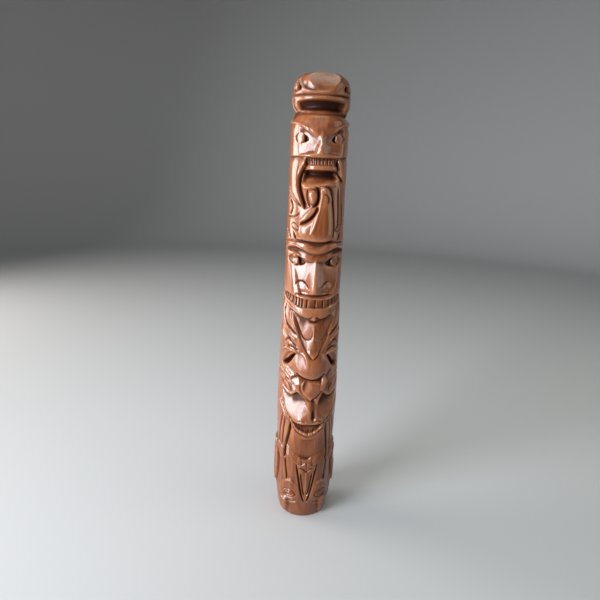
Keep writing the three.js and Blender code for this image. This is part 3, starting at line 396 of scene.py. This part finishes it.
gouge([[-39,257],[-28,246.5],[-21,238.6],[-14,232.4],[-7,229.8],[0,230.2],[5,233.4],[6,241]], 1.9, 1.2)
gouge([[55,257],[44,246.5],[37,238.6],[30,232.4],[23,229.8],[16,230.2],[11,233.4],[10,241]], 1.8, 0.7)
gouge2(8, [[-25,239],[-20,231.6],[-13,224.2],[-5,216.6],[3,210.2],[8,207.4]], 2.0, 1.0)
gouge2(7, [[-54,222.2],[-46,227.6],[-36,224.8],[-22,220]], 2.4, 1.6)
gouge2(7, [[-46,219.6],[-34,219.8],[-20,216.6]], 2.2, 1.4)
ridge2(7, [[-62,212],[-48,216.8],[-34,215.4],[-18,212.2]], 3.8, 1.8)
scoop([[-24,214],[-40,214.6],[-54,209],[-64,198],[-50,195],[-39,198.6],[-30,206]], 4.0, 214, 2.2, 200, 3.6)
scoop([[38,214],[54,214.6],[66,209],[74,198],[62,195],[51,198.6],[43,206]], 4.0, 214, 2.2, 200, 3.6)
level([[-24.5,212.4],[-38,209.6],[-50,204],[-62,197],[-50,195.2],[-40,198.6],[-31,205]], 9.0, 2.6)
level([[34.5,213],[46,210.4],[57,205],[69,197],[58,195],[49,198.6],[41,205]], 9.0, 2.6)
blob(7, 199, 38, 19, 4.6)
planecut([[-30,214],[-8,213],[1,202],[0,190],[-16,184.6],[-32,190],[-36,200]], 3.6, -12, 199, -2.2, -22, 9.5)
planecut([[44,214],[26,212],[20,200],[22,188],[34,184],[46,190],[50,200]], 5.0, 26, 199, -2.8, 40, 0)
edge([[-20,190.6],[-10,186.6],[2,184.2],[12,183.9],[22,186],[31,191]], 10.0, 5.0, 1)
gouge([[-17,188.6],[-8,185.2],[3,183.0],[12,182.8],[22,184.8],[30,189.4]], 3.0, 1.4)
# ================= fourth head, z 112 to 197
edge([[-92,186],[-74,186.2],[-56,184.6],[-42,181.4],[-30,177],[-20,171.6]], 6.0, 1.6, 1)
edge([[106,186],[88,186.2],[70,184.6],[56,181.4],[44,177],[34,171.6]], 6.0, 1.6, -1)
planecut([[-64,190],[-50,197],[-34,195],[-22,187],[-14,178],[-20,172.6],[-34,179],[-50,184]], 2.6, -36, 186, 0.2, -30, 15)
gouge2(7, [[-68,190.8],[-50,186.9],[-35,181],[-19,172.6]], 1.8, 1.0)
gouge2(7, [[-60,195],[-45,190.6],[-34,186]], 1.8, 0.7)
gouge2(7, [[-37,194],[-29,190.6],[-24,186.4]], 1.8, 1.0)
blob(8, 141, 62, 24, 3.0)
planecut([[-66,163],[-54,166.4],[-43,164],[-31,162.6],[-19,167],[-9,163.6],[0,158],[7,150],[8.6,139],[8,130],[-10,128.6],[-22,130.6],[-33,137],[-44,144],[-56,151.6]], 1.6, 2, 150, -1.0, -22, 14)
planecut([[80,163],[68,166.4],[57,164],[45,162.6],[33,167],[27,163.6],[22,158],[18,150],[17,139],[18,130],[27,128.6],[38,130.6],[48,137],[58,144],[70,151.6]], 2.4, 14, 150, -1.0, 37, 14)
pocket2(7, [[-67,176.4],[-58,178.2],[-48.7,177.6],[-39,176.8],[-32.5,174.8],[-28,169.4],[-30,165],[-36,164],[-43,165.6],[-55,170]], 0.9, 0.9)
raised2(7, [[-50,175.4],[-44,176.4],[-37,174],[-32,169.4],[-32,166],[-37,167],[-43.6,170.6]], 1.3, 0.9)
raised([[8,183],[-4,181.6],[-11,174.5],[-8,168],[-1,162.5],[8,158.8],[18,162.5],[26,168],[28,174.5],[22,181.6]], 1.1, 2.4)
planecut([[10,182.6],[-4,181.6],[-10,175],[-8,168],[-1,163],[8,160],[13,166],[14,176]], 2.6, 4, 171, -0.5, -18, 15)
planecut([[-31,185],[-21,187],[-11,185],[-5,182.6],[-8,178.6],[-13,173.6],[-19,171.6],[-28,175],[-35,180]], 2.2, -18, 180, 1.1, -25, 17)
gouge([[-6,181.6],[-13,174.5],[-10,167.4],[-2,161.4],[8,157.8],[18,161.4],[28,167.4],[30.5,174]], 2.4, 1.2)
gouge([[12,161],[13,152],[13.5,142],[14,133]], 6.4, 2.6)
raised([[31,189.6],[38,187],[41,178],[35,170.6],[27,168],[23.5,173.4],[27,181]], 2.2, 2.6)
soften([[-3,157],[8,158.6],[20,157],[26,151],[20,146],[12,144],[4,147],[-3,152]], 3.0, 1.6)
blob2(8.5, -5, 132, 11, 4.4, 1.6)
gouge2(8, [[-14,130.8],[-7,133.6],[1,132.4]], 2.2, 1.8)
edge([[-28,129.8],[-8,128.8],[8,128],[24,128.8],[42,129.8]], 6.0, 2.2, 1)
gouge2(7, [[-66,158.6],[-56,151.6],[-44,144.4],[-33,137],[-23,130.8],[-13,127.6]], 2.0, 1.5)
gouge2(7, [[-66,152],[-57,146],[-47,139.6],[-37,132],[-28,126]], 2.0, 1.3)
level([[-24,128.6],[-18,122.8],[-9,118.8],[5,115.6],[18,117.4],[28,121],[36,126.4],[30,128.6],[5,127.8],[-10,128.4]], 2.4, 1.0)
level([[1,128.4],[3,123],[14,121.6],[27,122.6],[30,128],[16,128.2]], 2.6, 1.8)
groove([[-29,130],[-23,122.6],[-17,118],[-8,114.6],[4,111.6],[16,112.6],[26,116.2],[34,120.6],[41,127]], 1.9, 1.5)
# ================= body, arms, wings and feet, z 0 to 130
planecut([[-27,116],[-14,111],[5,108.6],[24,111],[38,116],[41,100],[38,91],[20,85],[7,80],[-8,84],[-27,92.4]], 2.0, 7, 100, 1.3, 6, -2)
edge([[-30,128],[-31.5,118],[-35,108],[-39,99],[-42,90],[-42.5,80]], 6.0, 1.7, -1)
gouge([[-30,129],[-32,118],[-36,108],[-40,99],[-42.6,90],[-42.4,79]], 3.6, 3.2)
gouge([[42.5,128],[45.5,115],[48.5,104],[50.5,94],[50.5,84],[48,76]], 4.2, 3.4)
gouge2(5, [[-42,134],[-47,117],[-50,104],[-51,93]], 2.8, 2.2)
gouge2(5, [[-50,136],[-57,118],[-61,104],[-62,95]], 2.8, 2.0)
planecut([[-33.5,119],[-28,118],[-26.5,104],[-28,93.4],[-37,97],[-38,101]], 1.2, -32, 106, 1.0, -54, 3)
raised2(7, [[-43,99.4],[-28,92.4],[-15,88],[-5.5,84.4],[-3,79],[-5,73.4],[-14,74.8],[-26,80],[-42,86.6]], 1.0, 1.6)
swell([[-70,93],[-60,94],[-50,91],[-45,84],[-44,77],[-50,74],[-60,80],[-68,86]], 1.5, 5.0)
swell([[84,93],[74,94],[64,91],[59,84],[58,77],[64,74],[74,80],[82,86]], 1.8, 5.0)
raised2(7, [[-12.5,73],[-9.5,64],[-6,52],[-2.5,40],[3,26],[7,24],[7,74],[-3,75]], 1.0, 1.0)
gouge2(7, [[-13.4,74],[-10.6,64],[-7,52],[-3.5,40],[2,27.4],[6,22]], 2.6, 2.3)
gouge2(7, [[-4.6,65],[-1.6,52],[1.4,40],[5.4,32]], 2.6, 2.3)
ridge([[7,67],[7.2,52],[7,40]], 3.4, 1.0)
gouge([[-9,70.6],[0,69.6],[7,66],[14,69.6],[23,70.6]], 2.0, 1.4)
gouge2(6, [[-40,79],[-38.4,68],[-36,60],[-34,50]], 3.4, 2.6)
raised([[-112,92],[-96,94],[-76,93],[-65,86],[-60,74],[-60,60],[-65,46],[-72,37],[-84,33],[-100,34],[-114,42]], 2.4, 2.2)
raised([[122,92],[106,94],[86,93],[75,86],[70,74],[70,60],[75,46],[82,37],[94,33],[110,34],[124,42]], 2.2, 2.2)
raised([[62,22],[72,16],[100,14],[118,24],[118,62],[96,70],[74,64],[64,46]], 1.1, 7.0)
swell([[-52,24],[-56,33],[-50,43],[-38,50],[-25,52.6],[-13,49],[-6,42],[-4,32],[-8,22],[-28,17]], 1.5, 12.0)
swell([[64,24],[68,33],[62,43],[50,50],[37,52.6],[25,49],[18,42],[16,32],[20,22],[40,17]], 1.4, 12.0)
ridge2(6, [[-38,48.4],[-27,51],[-17,49.4]], 4.4, 1.1)
gouge2(6, [[-43,33.4],[-38,37],[-27,38.8],[-18,36.8],[-14,32.4],[-20,28.8],[-30,27.8],[-39,29.4],[-43,33.4]], 1.9, 1.3)
gouge2(6, [[-37,33],[-32,35.6],[-25,36],[-20,33.2],[-25,31],[-32,30.6],[-37,33]], 1.8, 1.2)
raised2(3, [[-53,26],[-51,12],[-46,1.6],[-36,1.6],[-31,12],[-29.5,26]], 2.4, 4.4)
gouge2(6, [[-44,25],[-32,22.4],[-18,21.8],[-8,25]], 2.0, 1.2)
# ================= sides and back, plainer
gouge2(5, [[-84,446],[-92,440],[-92,430],[-84,425]], 3.0, 1.4)
gouge2(5, [[-86,322],[-95,314],[-95,300],[-88,290]], 3.0, 1.4)
gouge2(5, [[-84,410],[-90,398],[-88,384],[-80,372]], 3.0, 1.4)
gouge2(5, [[-92,404],[-100,390],[-98,372],[-88,352]], 3.0, 1.4)
gouge2(5, [[-88,232],[-96,218],[-96,204],[-86,192]], 3.0, 1.4)
gouge2(5, [[-96,240],[-106,220],[-106,202],[-94,184]], 3.0, 1.4)
gouge2(5, [[-80,166],[-90,154],[-92,138],[-84,124]], 3.0, 1.4)
for a in [-104, -94, -84, -74]:
    gouge2(5, [[a, 88], [a + 1.5, 64], [a + 4, 42]], 2.4, 1.0)
# ================= fine knife work
# teeth of the second figure
for a in [-19, -13.5, -8.5, -3.5, 4, 12, 20, 28, 36]:
    groove([[a, 420.3], [a + 0.3, 416.6], [a + 0.5, 413.2]], 1.5, 1.5)
# teeth of the third figure
for a, z0, z1 in [[-61, 273.4, 278.6], [-53, 271.4, 278.5], [-43, 269.1, 277.8], [-33.5, 266.8, 276.6], [-26, 265.6, 276], [-19.5, 265, 275.4], [-9.5, 264.8, 275], [8, 264.8, 274.6], [24, 265, 274.4], [37.5, 266.2, 274.8], [48, 268.4, 276.2], [58, 270.4, 277.6]]:
    groove([[a, z0], [a + 0.4, 0.5 * (z0 + z1)], [a, z1]], 2.0, 2.0)
# teeth of the fourth head
for a, z0, z1 in [[-11, 117.4, 123], [-3, 115, 121], [7, 113.4, 121.6], [17, 113.8, 121.6], [28, 116.6, 124]]:
    groove([[a, z0], [a, 0.5 * (z0 + z1)], [a, z1]], 1.5, 1.4)
# feathers that meet at the tip of the left tusk
for a, z in [[-76, 393], [-74, 388], [-72, 383]]:
    groove([[a, z], [-57, 0.5 * (z + 371) + 3.2], [-43, 0.25 * z + 0.75 * 371 + 1.6], [-30, 371.5]], 1.7, 1.3)
# incised eye and lines on the fish's side
groove2(5, [[-55,352.8],[-48,354.6],[-41,353.4],[-34,349.8],[-31.5,348.4],[-38,347.6],[-46,348.6],[-52,350.8],[-55,352.8]], 1.5, 1.3)
groove2(5, [[-68,358.2],[-52,358.6],[-36,357.6]], 1.2, 0.8)
# bundle of lines on the folded arm
for k in range(4):
    groove2(7, [[-44 + 2 * k, 226.4 - 2.1 * k], [-32 + k, 224 - 2.0 * k], [-19, 219.4 - 1.6 * k]], 1.2, 0.9)
# scale cuts between the two jaw lines of the fourth head
for k in range(7):
    u = k / 6
    groove2(7, [[-62 + 40 * u, 155.6 - 25.4 * u], [-61.5 + 37 * u, 149.4 - 24.2 * u]], 1.5, 1.0)
# claws and bands
for s in [-1, 1]:
    for k in range(4):
        a = 7 + s * 12
        groove([[a - 3.0 * s, 83.8 - 2.8 * k], [a + 4.2 * s, 82.2 - 2.8 * k]], 1.3, 1.2)
for k in range(3):
    groove2(7, [[-40, 95.4 - 3.2 * k], [-27, 89.6 - 3.3 * k], [-15, 85.0 - 3.1 * k], [-10, 83.0 - 2.8 * k]], 1.3, 1.0)
groove2(7, [[-9,69],[-6,56],[-2,44],[3,32]], 1.2, 0.8)
# foot
groove2(6, [[-31,33.4],[-26,33.4]], 1.2, 0.8)
groove([[-44.5,20],[-43.5,12],[-41,5]], 1.2, 0.7)
# painted shade in the hollows, darkest where the shade is deepest
painted_shade([[-46,473],[-30,474.6],[5,475],[38,474.6],[58,473],[58,464],[44,462],[5,462],[-22,462],[-36,465]], 3.0, 1.2)
painted_shade([[-44,449.6],[-30,449],[-13,445.4],[5,441.4],[23,445.4],[40,449],[54,449.6],[50,456],[5,458.6],[-30,456]], 4.0, 0.25)
painted_shade([[-30,408],[-36,404],[-38,399],[-20,397.4],[5,398],[30,399],[48,400],[50,405],[44,408.4],[5,408]], 3.0, 0.9)
painted_shade([[-70,327.6],[-48,330.2],[-28,327.8],[-12,324.6],[5,323],[24,324.6],[38,327.8],[58,330.2],[80,327.6],[62,322],[50,320],[37,316],[24,314],[5,312],[-14,314],[-27,316],[-40,320],[-54,322]], 3.0, 0.35)
painted_shade([[-24,184],[-8,182],[8,181],[24,182],[34,184],[24,187],[8,185],[-12,187]], 2.0, 0.5)
painted_shade([[9,160],[18,160],[20,150],[20,138],[16,130],[9,131],[9,144]], 2.4, 0.8)
painted_shade([[-22,128.6],[-12,121],[5,116],[20,118],[34,126],[28,129],[5,128.6]], 2.4, 0.25)
painted_shade([[-36,266],[-20,260],[5,256],[30,260],[44,266],[20,250],[5,247],[-10,250]], 3.0, 0.35)
painted_shade([[-64,197],[-50,204],[-38,209],[-28,211],[-31,204],[-40,198],[-50,195]], 2.4, 0.7)
painted_shade([[72,197],[58,205],[46,210],[38,212],[41,205],[49,198.6],[58,195]], 2.4, 0.7)
# painted shade: the foot and the crown are a little darker than the middle
painted_shade([[-174,-30],[-174,104],[-90,112],[5,116],[100,112],[184,104],[184,-30],[5,-40]], 14.0, 0.34)
painted_shade([[-174,530],[-174,468],[-90,462],[5,460],[100,462],[184,468],[184,530],[5,540]], 6.0, 0.30)

# ---------------------------------------------------------------- the surface left by the knife and by sanding
def blur(a, sz, sx):
    def k1(s):
        n = max(1, int(3 * s))
        k = np.exp(-0.5 * (np.arange(-n, n + 1) / s) ** 2)
        return k / k.sum(), n
    k, n = k1(sz)
    p = np.pad(a, ((n, n), (0, 0)), mode="edge")
    a = sum(w * p[i:i + a.shape[0]] for i, w in enumerate(k))
    k, n = k1(sx)
    p = np.pad(a, ((0, 0), (n, n)), mode="wrap")
    return sum(w * p[:, i:i + a.shape[1]] for i, w in enumerate(k))


SKIN = blur(SKIN, 0.8, 0.8)
rng = np.random.default_rng(11)
A, Z = np.meshgrid(np.radians(ANG), ZED)
for _ in range(14):
    m, kz, ph, ph2 = rng.integers(2, 9), rng.uniform(0.01, 0.09), rng.uniform(0, 6.28), rng.uniform(0, 6.28)
    SKIN += 0.035 * np.sin(m * A + ph) * np.sin(kz * Z + ph2)
CAVITY = blur(SKIN, 7, 7) - SKIN            # > 0 in the cuts, < 0 on the edges
WIDE = blur(blur(SKIN, 24, 14), 10, 8) - SKIN
PAINTED_SHADE = blur(PAINTED_SHADE, 3, 3)
sawn = smooth((499.0 - ZED) / 6.0)[:, None]  # the rounded top edge and the sawn top are no cut
CAVITY, WIDE = CAVITY * sawn, WIDE * sawn


def make_pole():
    a = np.radians(ANG - CENTRE)
    sa, ca = np.sin(a), np.cos(a)
    v = np.empty(((ROWS + 1) * COLS + 2, 3))
    v[:-2, 0] = (SKIN * sa).ravel()
    v[:-2, 1] = (-SKIN * ca).ravel()
    v[:-2, 2] = np.repeat(ZED, COLS)
    v[-2], v[-1] = (0, 0, 0), (0, 0, HEIGHT)
    j, i = np.meshgrid(np.arange(ROWS), np.arange(COLS), indexing="ij")
    i2 = (i + 1) % COLS
    q00, q01, q10, q11 = j * COLS + i, j * COLS + i2, (j + 1) * COLS + i, (j + 1) * COLS + i2
    f = np.concatenate([np.stack([q00, q01, q11], -1).reshape(-1, 3), np.stack([q00, q11, q10], -1).reshape(-1, 3)])
    n = len(v) - 2
    k = np.arange(COLS)
    k2 = (k + 1) % COLS
    f = np.concatenate([f, np.stack([np.full(COLS, n), k2, k], -1),
                        np.stack([np.full(COLS, n + 1), ROWS * COLS + k, ROWS * COLS + k2], -1)])
    me = bpy.data.meshes.new("carved_pole")
    me.vertices.add(len(v))
    me.vertices.foreach_set("co", (v / 1000).astype(np.float32).ravel())
    me.loops.add(f.size)
    me.loops.foreach_set("vertex_index", f.astype(np.int32).ravel())
    me.polygons.add(len(f))
    me.polygons.foreach_set("loop_start", (3 * np.arange(len(f))).astype(np.int32))
    me.polygons.foreach_set("loop_total", np.full(len(f), 3, np.int32))
    me.update(calc_edges=True)
    ob = bpy.data.objects.new("carved_pole", me)
    bpy.context.scene.collection.objects.link(ob)
    mod = ob.modifiers.new("thin", "DECIMATE")
    mod.ratio = TRIS / len(f)
    mod.use_collapse_triangulate = True
    deps = bpy.context.evaluated_depsgraph_get()
    thin = bpy.data.meshes.new_from_object(ob.evaluated_get(deps))
    ob.modifiers.clear()
    ob.data = thin
    bpy.data.meshes.remove(me)
    thin.name = "carved_pole"
    # how deep each point lies in a cut, for the staining and painted shade in the cuts and for the varnish, and the
    # painted shade chart
    co = np.empty(len(thin.vertices) * 3, np.float32)
    thin.vertices.foreach_get("co", co)
    co = co.reshape(-1, 3) * 1000
    ang = CENTRE + np.degrees(np.arctan2(co[:, 0], -co[:, 1]))
    ci = np.interp(ang, ANG, np.arange(COLS), period=None)
    cj = np.clip(co[:, 2] / HEIGHT * ROWS, 0, ROWS)
    i0, j0 = np.minimum(ci.astype(int), COLS - 2), np.minimum(cj.astype(int), ROWS - 1)
    u, w = ci - i0, cj - j0
    for name, grid in (("cut", CAVITY), ("deep", WIDE), ("painted_shade", PAINTED_SHADE)):
        val = ((grid[j0, i0] * (1 - u) + grid[j0, i0 + 1] * u) * (1 - w) + (grid[j0 + 1, i0] * (1 - u) + grid[j0 + 1, i0 + 1] * u) * w)
        at = thin.attributes.new(name, "FLOAT", "POINT")
        at.data.foreach_set("value", val.astype(np.float32))
    thin.polygons.foreach_set("use_smooth", np.ones(len(thin.polygons), bool))
    thin.update()
    return ob


pole = make_pole()


# ---------------------------------------------------------------- wood
def wood_material():
    m = bpy.data.materials.new("varnished_wood")
    m.use_nodes = True
    nt = m.node_tree
    nt.nodes.clear()
    N, L = nt.nodes.new, nt.links.new
    out = N("ShaderNodeOutputMaterial")
    bs = N("ShaderNodeBsdfPrincipled")
    L(bs.outputs[0], out.inputs[0])
    tc = N("ShaderNodeTexCoord")

    def mapping(scale, loc=(0, 0, 0), rot=(0, 0, 0)):
        n = N("ShaderNodeMapping")
        n.inputs["Scale"].default_value = scale
        n.inputs["Location"].default_value = loc
        n.inputs["Rotation"].default_value = rot
        L(tc.outputs["Object"], n.inputs[0])
        return n.outputs[0]

    def noise(vec, scale, detail=3.0, rough=0.5, distort=0.0):
        n = N("ShaderNodeTexNoise")
        L(vec, n.inputs["Vector"])
        n.inputs["Scale"].default_value = scale
        n.inputs["Detail"].default_value = detail
        n.inputs["Roughness"].default_value = rough
        n.inputs["Distortion"].default_value = distort
        return n.outputs["Fac"]

    def ramp(fac, stops):
        n = N("ShaderNodeValToRGB")
        L(fac, n.inputs[0])
        e = n.color_ramp.elements
        while len(e) > 1:
            e.remove(e[-1])
        e[0].position, e[0].color = stops[0][0], (*stops[0][1], 1) if len(stops[0][1]) == 3 else stops[0][1]
        for p, c in stops[1:]:
            x = e.new(p)
            x.color = (*c, 1)
        return n.outputs[0]

    def math_(op, a, b=None, clamp=False):
        n = N("ShaderNodeMath")
        n.operation = op
        n.use_clamp = clamp
        for k, x in enumerate((a, b)):
            if x is None:
                continue
            if isinstance(x, (int, float)):
                n.inputs[k].default_value = x
            else:
                L(x, n.inputs[k])
        return n.outputs[0]

    def mix(fac, a, b, kind="MIX"):
        n = N("ShaderNodeMix")
        n.data_type = "RGBA"
        n.blend_type = kind
        for sock, x in ((n.inputs[0], fac), (n.inputs[6], a), (n.inputs[7], b)):
            if isinstance(x, (int, float)):
                sock.default_value = x
            elif isinstance(x, tuple):
                sock.default_value = (*x, 1)
            else:
                L(x, sock)
        return n.outputs[2]

    # growth rings: upright shells round a pith behind the pole, wavering along the height
    wav = N("ShaderNodeTexWave")
    wav.wave_type, wav.rings_direction, wav.wave_profile = "RINGS", "Z", "SAW"
    L(mapping((1, 1, 0.035), (0.012, -0.055, 0)), wav.inputs["Vector"])
    wav.inputs["Scale"].default_value = 62
    wav.inputs["Distortion"].default_value = 3.2
    wav.inputs["Detail"].default_value = 2.0
    wav.inputs["Detail Scale"].default_value = 0.7
    rings = wav.outputs["Fac"]
    fibre = noise(mapping((1, 1, 0.045)), 620, 5, 0.62)
    pores = noise(mapping((1, 1, 0.03)), 1700, 2, 0.5)
    patch = noise(mapping((1, 1, 0.35)), 22, 3, 0.55)

    base = ramp(fibre, [(0.30, (0.110, 0.024, 0.006)), (0.50, (0.235, 0.062, 0.017)), (0.72, (0.370, 0.120, 0.036))])
    base = mix(0.45, base, ramp(rings, [(0.0, (0.150, 0.036, 0.010)), (0.55, (0.265, 0.076, 0.022)), (0.95, (0.370, 0.124, 0.038)), (1.0, (0.180, 0.046, 0.013))]))
    base = mix(ramp(patch, [(0.35, (0, 0, 0)), (0.7, (0.5, 0.5, 0.5))]), base, (0.200, 0.056, 0.020))
    base = mix(ramp(pores, [(0.60, (0, 0, 0)), (0.72, (0.6, 0.6, 0.6))]), base, (0.070, 0.019, 0.007))

    # staining plus painted shade darken the cuts and the wide hollows, and the edges are lighter where rubbed
    cut = N("ShaderNodeAttribute"); cut.attribute_name = "cut"
    deep = N("ShaderNodeAttribute"); deep.attribute_name = "deep"
    shade_attr = N("ShaderNodeAttribute"); shade_attr.attribute_name = "painted_shade"
    stain_and_shade = math_("MULTIPLY", math_("SUBTRACT", cut.outputs["Fac"], 0.12), 1.35, True)
    hollow_stain_and_shade = math_("MULTIPLY", math_("SUBTRACT", deep.outputs["Fac"], 1.3), 0.27, True)
    rub = math_("MULTIPLY", cut.outputs["Fac"], -1.1, True)
    # staining and painted shade in the narrow cuts
    base = mix(math_("MULTIPLY", stain_and_shade, 0.82), base, (0.032, 0.0085, 0.0042))
    # staining and painted shade in the wide hollows
    base = mix(hollow_stain_and_shade, base, (0.045, 0.012, 0.006))
    base = mix(math_("MULTIPLY", rub, 0.30), base, (0.56, 0.27, 0.13))
    # painted shade from the shade chart, darkening the colour toward near-black
    base = mix(math_("MULTIPLY", shade_attr.outputs["Fac"], 0.75, True), base, (0.020, 0.0052, 0.0024))
    L(base, bs.inputs["Base Color"])

    rough = math_("ADD", math_("MULTIPLY", fibre, 0.16), math_("ADD", 0.24, math_("MULTIPLY", stain_and_shade, 0.2)))
    L(rough, bs.inputs["Roughness"])
    bs.inputs["IOR"].default_value = 1.5
    hid = math_("ADD", math_("MULTIPLY", stain_and_shade, 0.9), math_("MULTIPLY", hollow_stain_and_shade, 2.2), True)
    hid = math_("ADD", hid, math_("MULTIPLY", shade_attr.outputs["Fac"], 0.9), True)
    L(math_("SUBTRACT", 0.90, math_("MULTIPLY", hid, 0.86)), bs.inputs["Coat Weight"])
    bs.inputs["Specular IOR Level"].default_value = 0.14
    bs.inputs["Coat Roughness"].default_value = 0.16
    bs.inputs["Coat IOR"].default_value = 1.6

    bump = N("ShaderNodeBump")
    bump.inputs["Strength"].default_value = 0.35
    bump.inputs["Distance"].default_value = 0.00012
    L(math_("ADD", fibre, math_("MULTIPLY", rings, 0.25)), bump.inputs["Height"])
    b2 = N("ShaderNodeBump")
    b2.inputs["Strength"].default_value = 0.25
    b2.inputs["Distance"].default_value = 0.0008
    L(noise(mapping((1, 1, 0.4)), 95, 2, 0.5), b2.inputs["Height"])
    L(b2.outputs[0], bump.inputs["Normal"])
    L(bump.outputs[0], bs.inputs["Normal"])
    L(b2.outputs[0], bs.inputs["Coat Normal"])
    return m


pole.data.materials.clear()
pole.data.materials.append(wood_material())
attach(pole, "root")
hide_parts("totem_pole")

# ---------------------------------------------------------------- floor, light and camera
def plain(name, color, rough):
    m = bpy.data.materials.new(name)
    m.use_nodes = True
    b = m.node_tree.nodes["Principled BSDF"]
    b.inputs["Base Color"].default_value = (*color, 1)
    b.inputs["Roughness"].default_value = rough
    return m


def sweep():
    """Pale floor that turns up into a round backdrop well away from the pole."""
    prof = [(0.0, 0.0), (0.8, 0.0), (2.3, 0.0)]
    prof += [(2.3 + 0.6 * math.sin(k * math.pi / 16), 0.6 - 0.6 * math.cos(k * math.pi / 16)) for k in range(1, 9)]
    prof += [(2.9, 2.9)]
    n = 64
    v = [(0, 0, 0)] + [(r * math.cos(2 * math.pi * k / n), r * math.sin(2 * math.pi * k / n), z) for r, z in prof[1:] for k in range(n)]
    f = [(0, 1 + k, 1 + (k + 1) % n) for k in range(n)]
    for m in range(len(prof) - 2):
        a = 1 + m * n
        f += [(a + k, a + n + k, a + n + (k + 1) % n, a + (k + 1) % n) for k in range(n)]
    me = bpy.data.meshes.new("floor")
    me.from_pydata(v, [], f)
    me.polygons.foreach_set("use_smooth", [True] * len(f))
    o = bpy.data.objects.new("floor", me)
    bpy.context.scene.collection.objects.link(o)
    o.data.materials.append(plain("floor_pale", (0.50, 0.505, 0.515), 0.8))


sweep()


def area(name, at, aim, size, size_y, power, color=(1, 1, 1), spread=180):
    d = bpy.data.lights.new(name, "AREA")
    d.shape = "RECTANGLE"
    d.size, d.size_y, d.energy, d.color = size, size_y, power, color
    d.spread = math.radians(spread)
    o = bpy.data.objects.new(name, d)
    bpy.context.scene.collection.objects.link(o)
    o.location = at
    o.rotation_euler = (Vector(aim) - Vector(at)).to_track_quat("-Z", "Y").to_euler()
    return o


area("window_left", (-1.02, -0.66, 0.50), (0, 0, 0.26), 0.62, 1.0, 12.6, (0.90, 0.93, 1.0), 110)
area("side_left", (-1.50, 0.45, 0.55), (0, 0, 0.25), 0.9, 1.0, 23.5, (1.0, 0.95, 0.90))
area("fill_right", (1.5, -0.35, 0.7), (0, 0, 0.25), 1.0, 1.3, 5.5, (1.0, 0.90, 0.74))
area("top", (0.0, 0.30, 1.9), (0, 0.3, 0.0), 1.2, 1.2, 6.0, (0.95, 1.0, 0.98))
area("sky_above", (0.0, -0.28, 1.8), (0, -0.03, 0.49), 1.1, 0.8, 4.5, (0.82, 1.0, 0.90))
area("sky_front", (-0.2, -1.35, 1.30), (0, 0, 0.35), 1.2, 0.6, 1.2, (0.86, 0.93, 1.0))

world = bpy.data.worlds.new("studio")
world.use_nodes = True
world.node_tree.nodes["Background"].inputs[0].default_value = (0.78, 0.76, 0.74, 1)
world.node_tree.nodes["Background"].inputs[1].default_value = 0.11
bpy.context.scene.world = world
bpy.context.scene.view_settings.view_transform = "Standard"


def photo_camera():
    """The camera stands in front of the pole, low over its middle, looking down a little and tipped to one side."""
    pitch, roll, yaw = math.radians(14.500), math.radians(2.510), math.radians(-1.499)
    turn = math.radians(-CENTRE)
    rz = Matrix.Rotation(turn, 3, "Z")
    f = Vector((math.sin(yaw) * math.cos(pitch), math.cos(yaw) * math.cos(pitch), -math.sin(pitch)))
    r0 = Vector((math.cos(yaw), -math.sin(yaw), 0))
    u0 = r0.cross(f)
    r = r0 * math.cos(roll) + u0 * math.sin(roll)
    u = -r0 * math.sin(roll) + u0 * math.cos(roll)
    m = Matrix((rz @ r, rz @ u, -(rz @ f))).transposed().to_4x4()
    m.translation = rz @ Vector((0, -0.49873, 0.39486))
    d = bpy.data.cameras.new("camera")
    d.sensor_width = 36
    d.lens = 36 * 451.0 / 600
    d.clip_start = 0.01
    o = bpy.data.objects.new("camera", d)
    o.matrix_world = m
    bpy.context.scene.collection.objects.link(o)
    bpy.context.scene.camera = o


photo_camera()

bpy.context.view_layer.update()
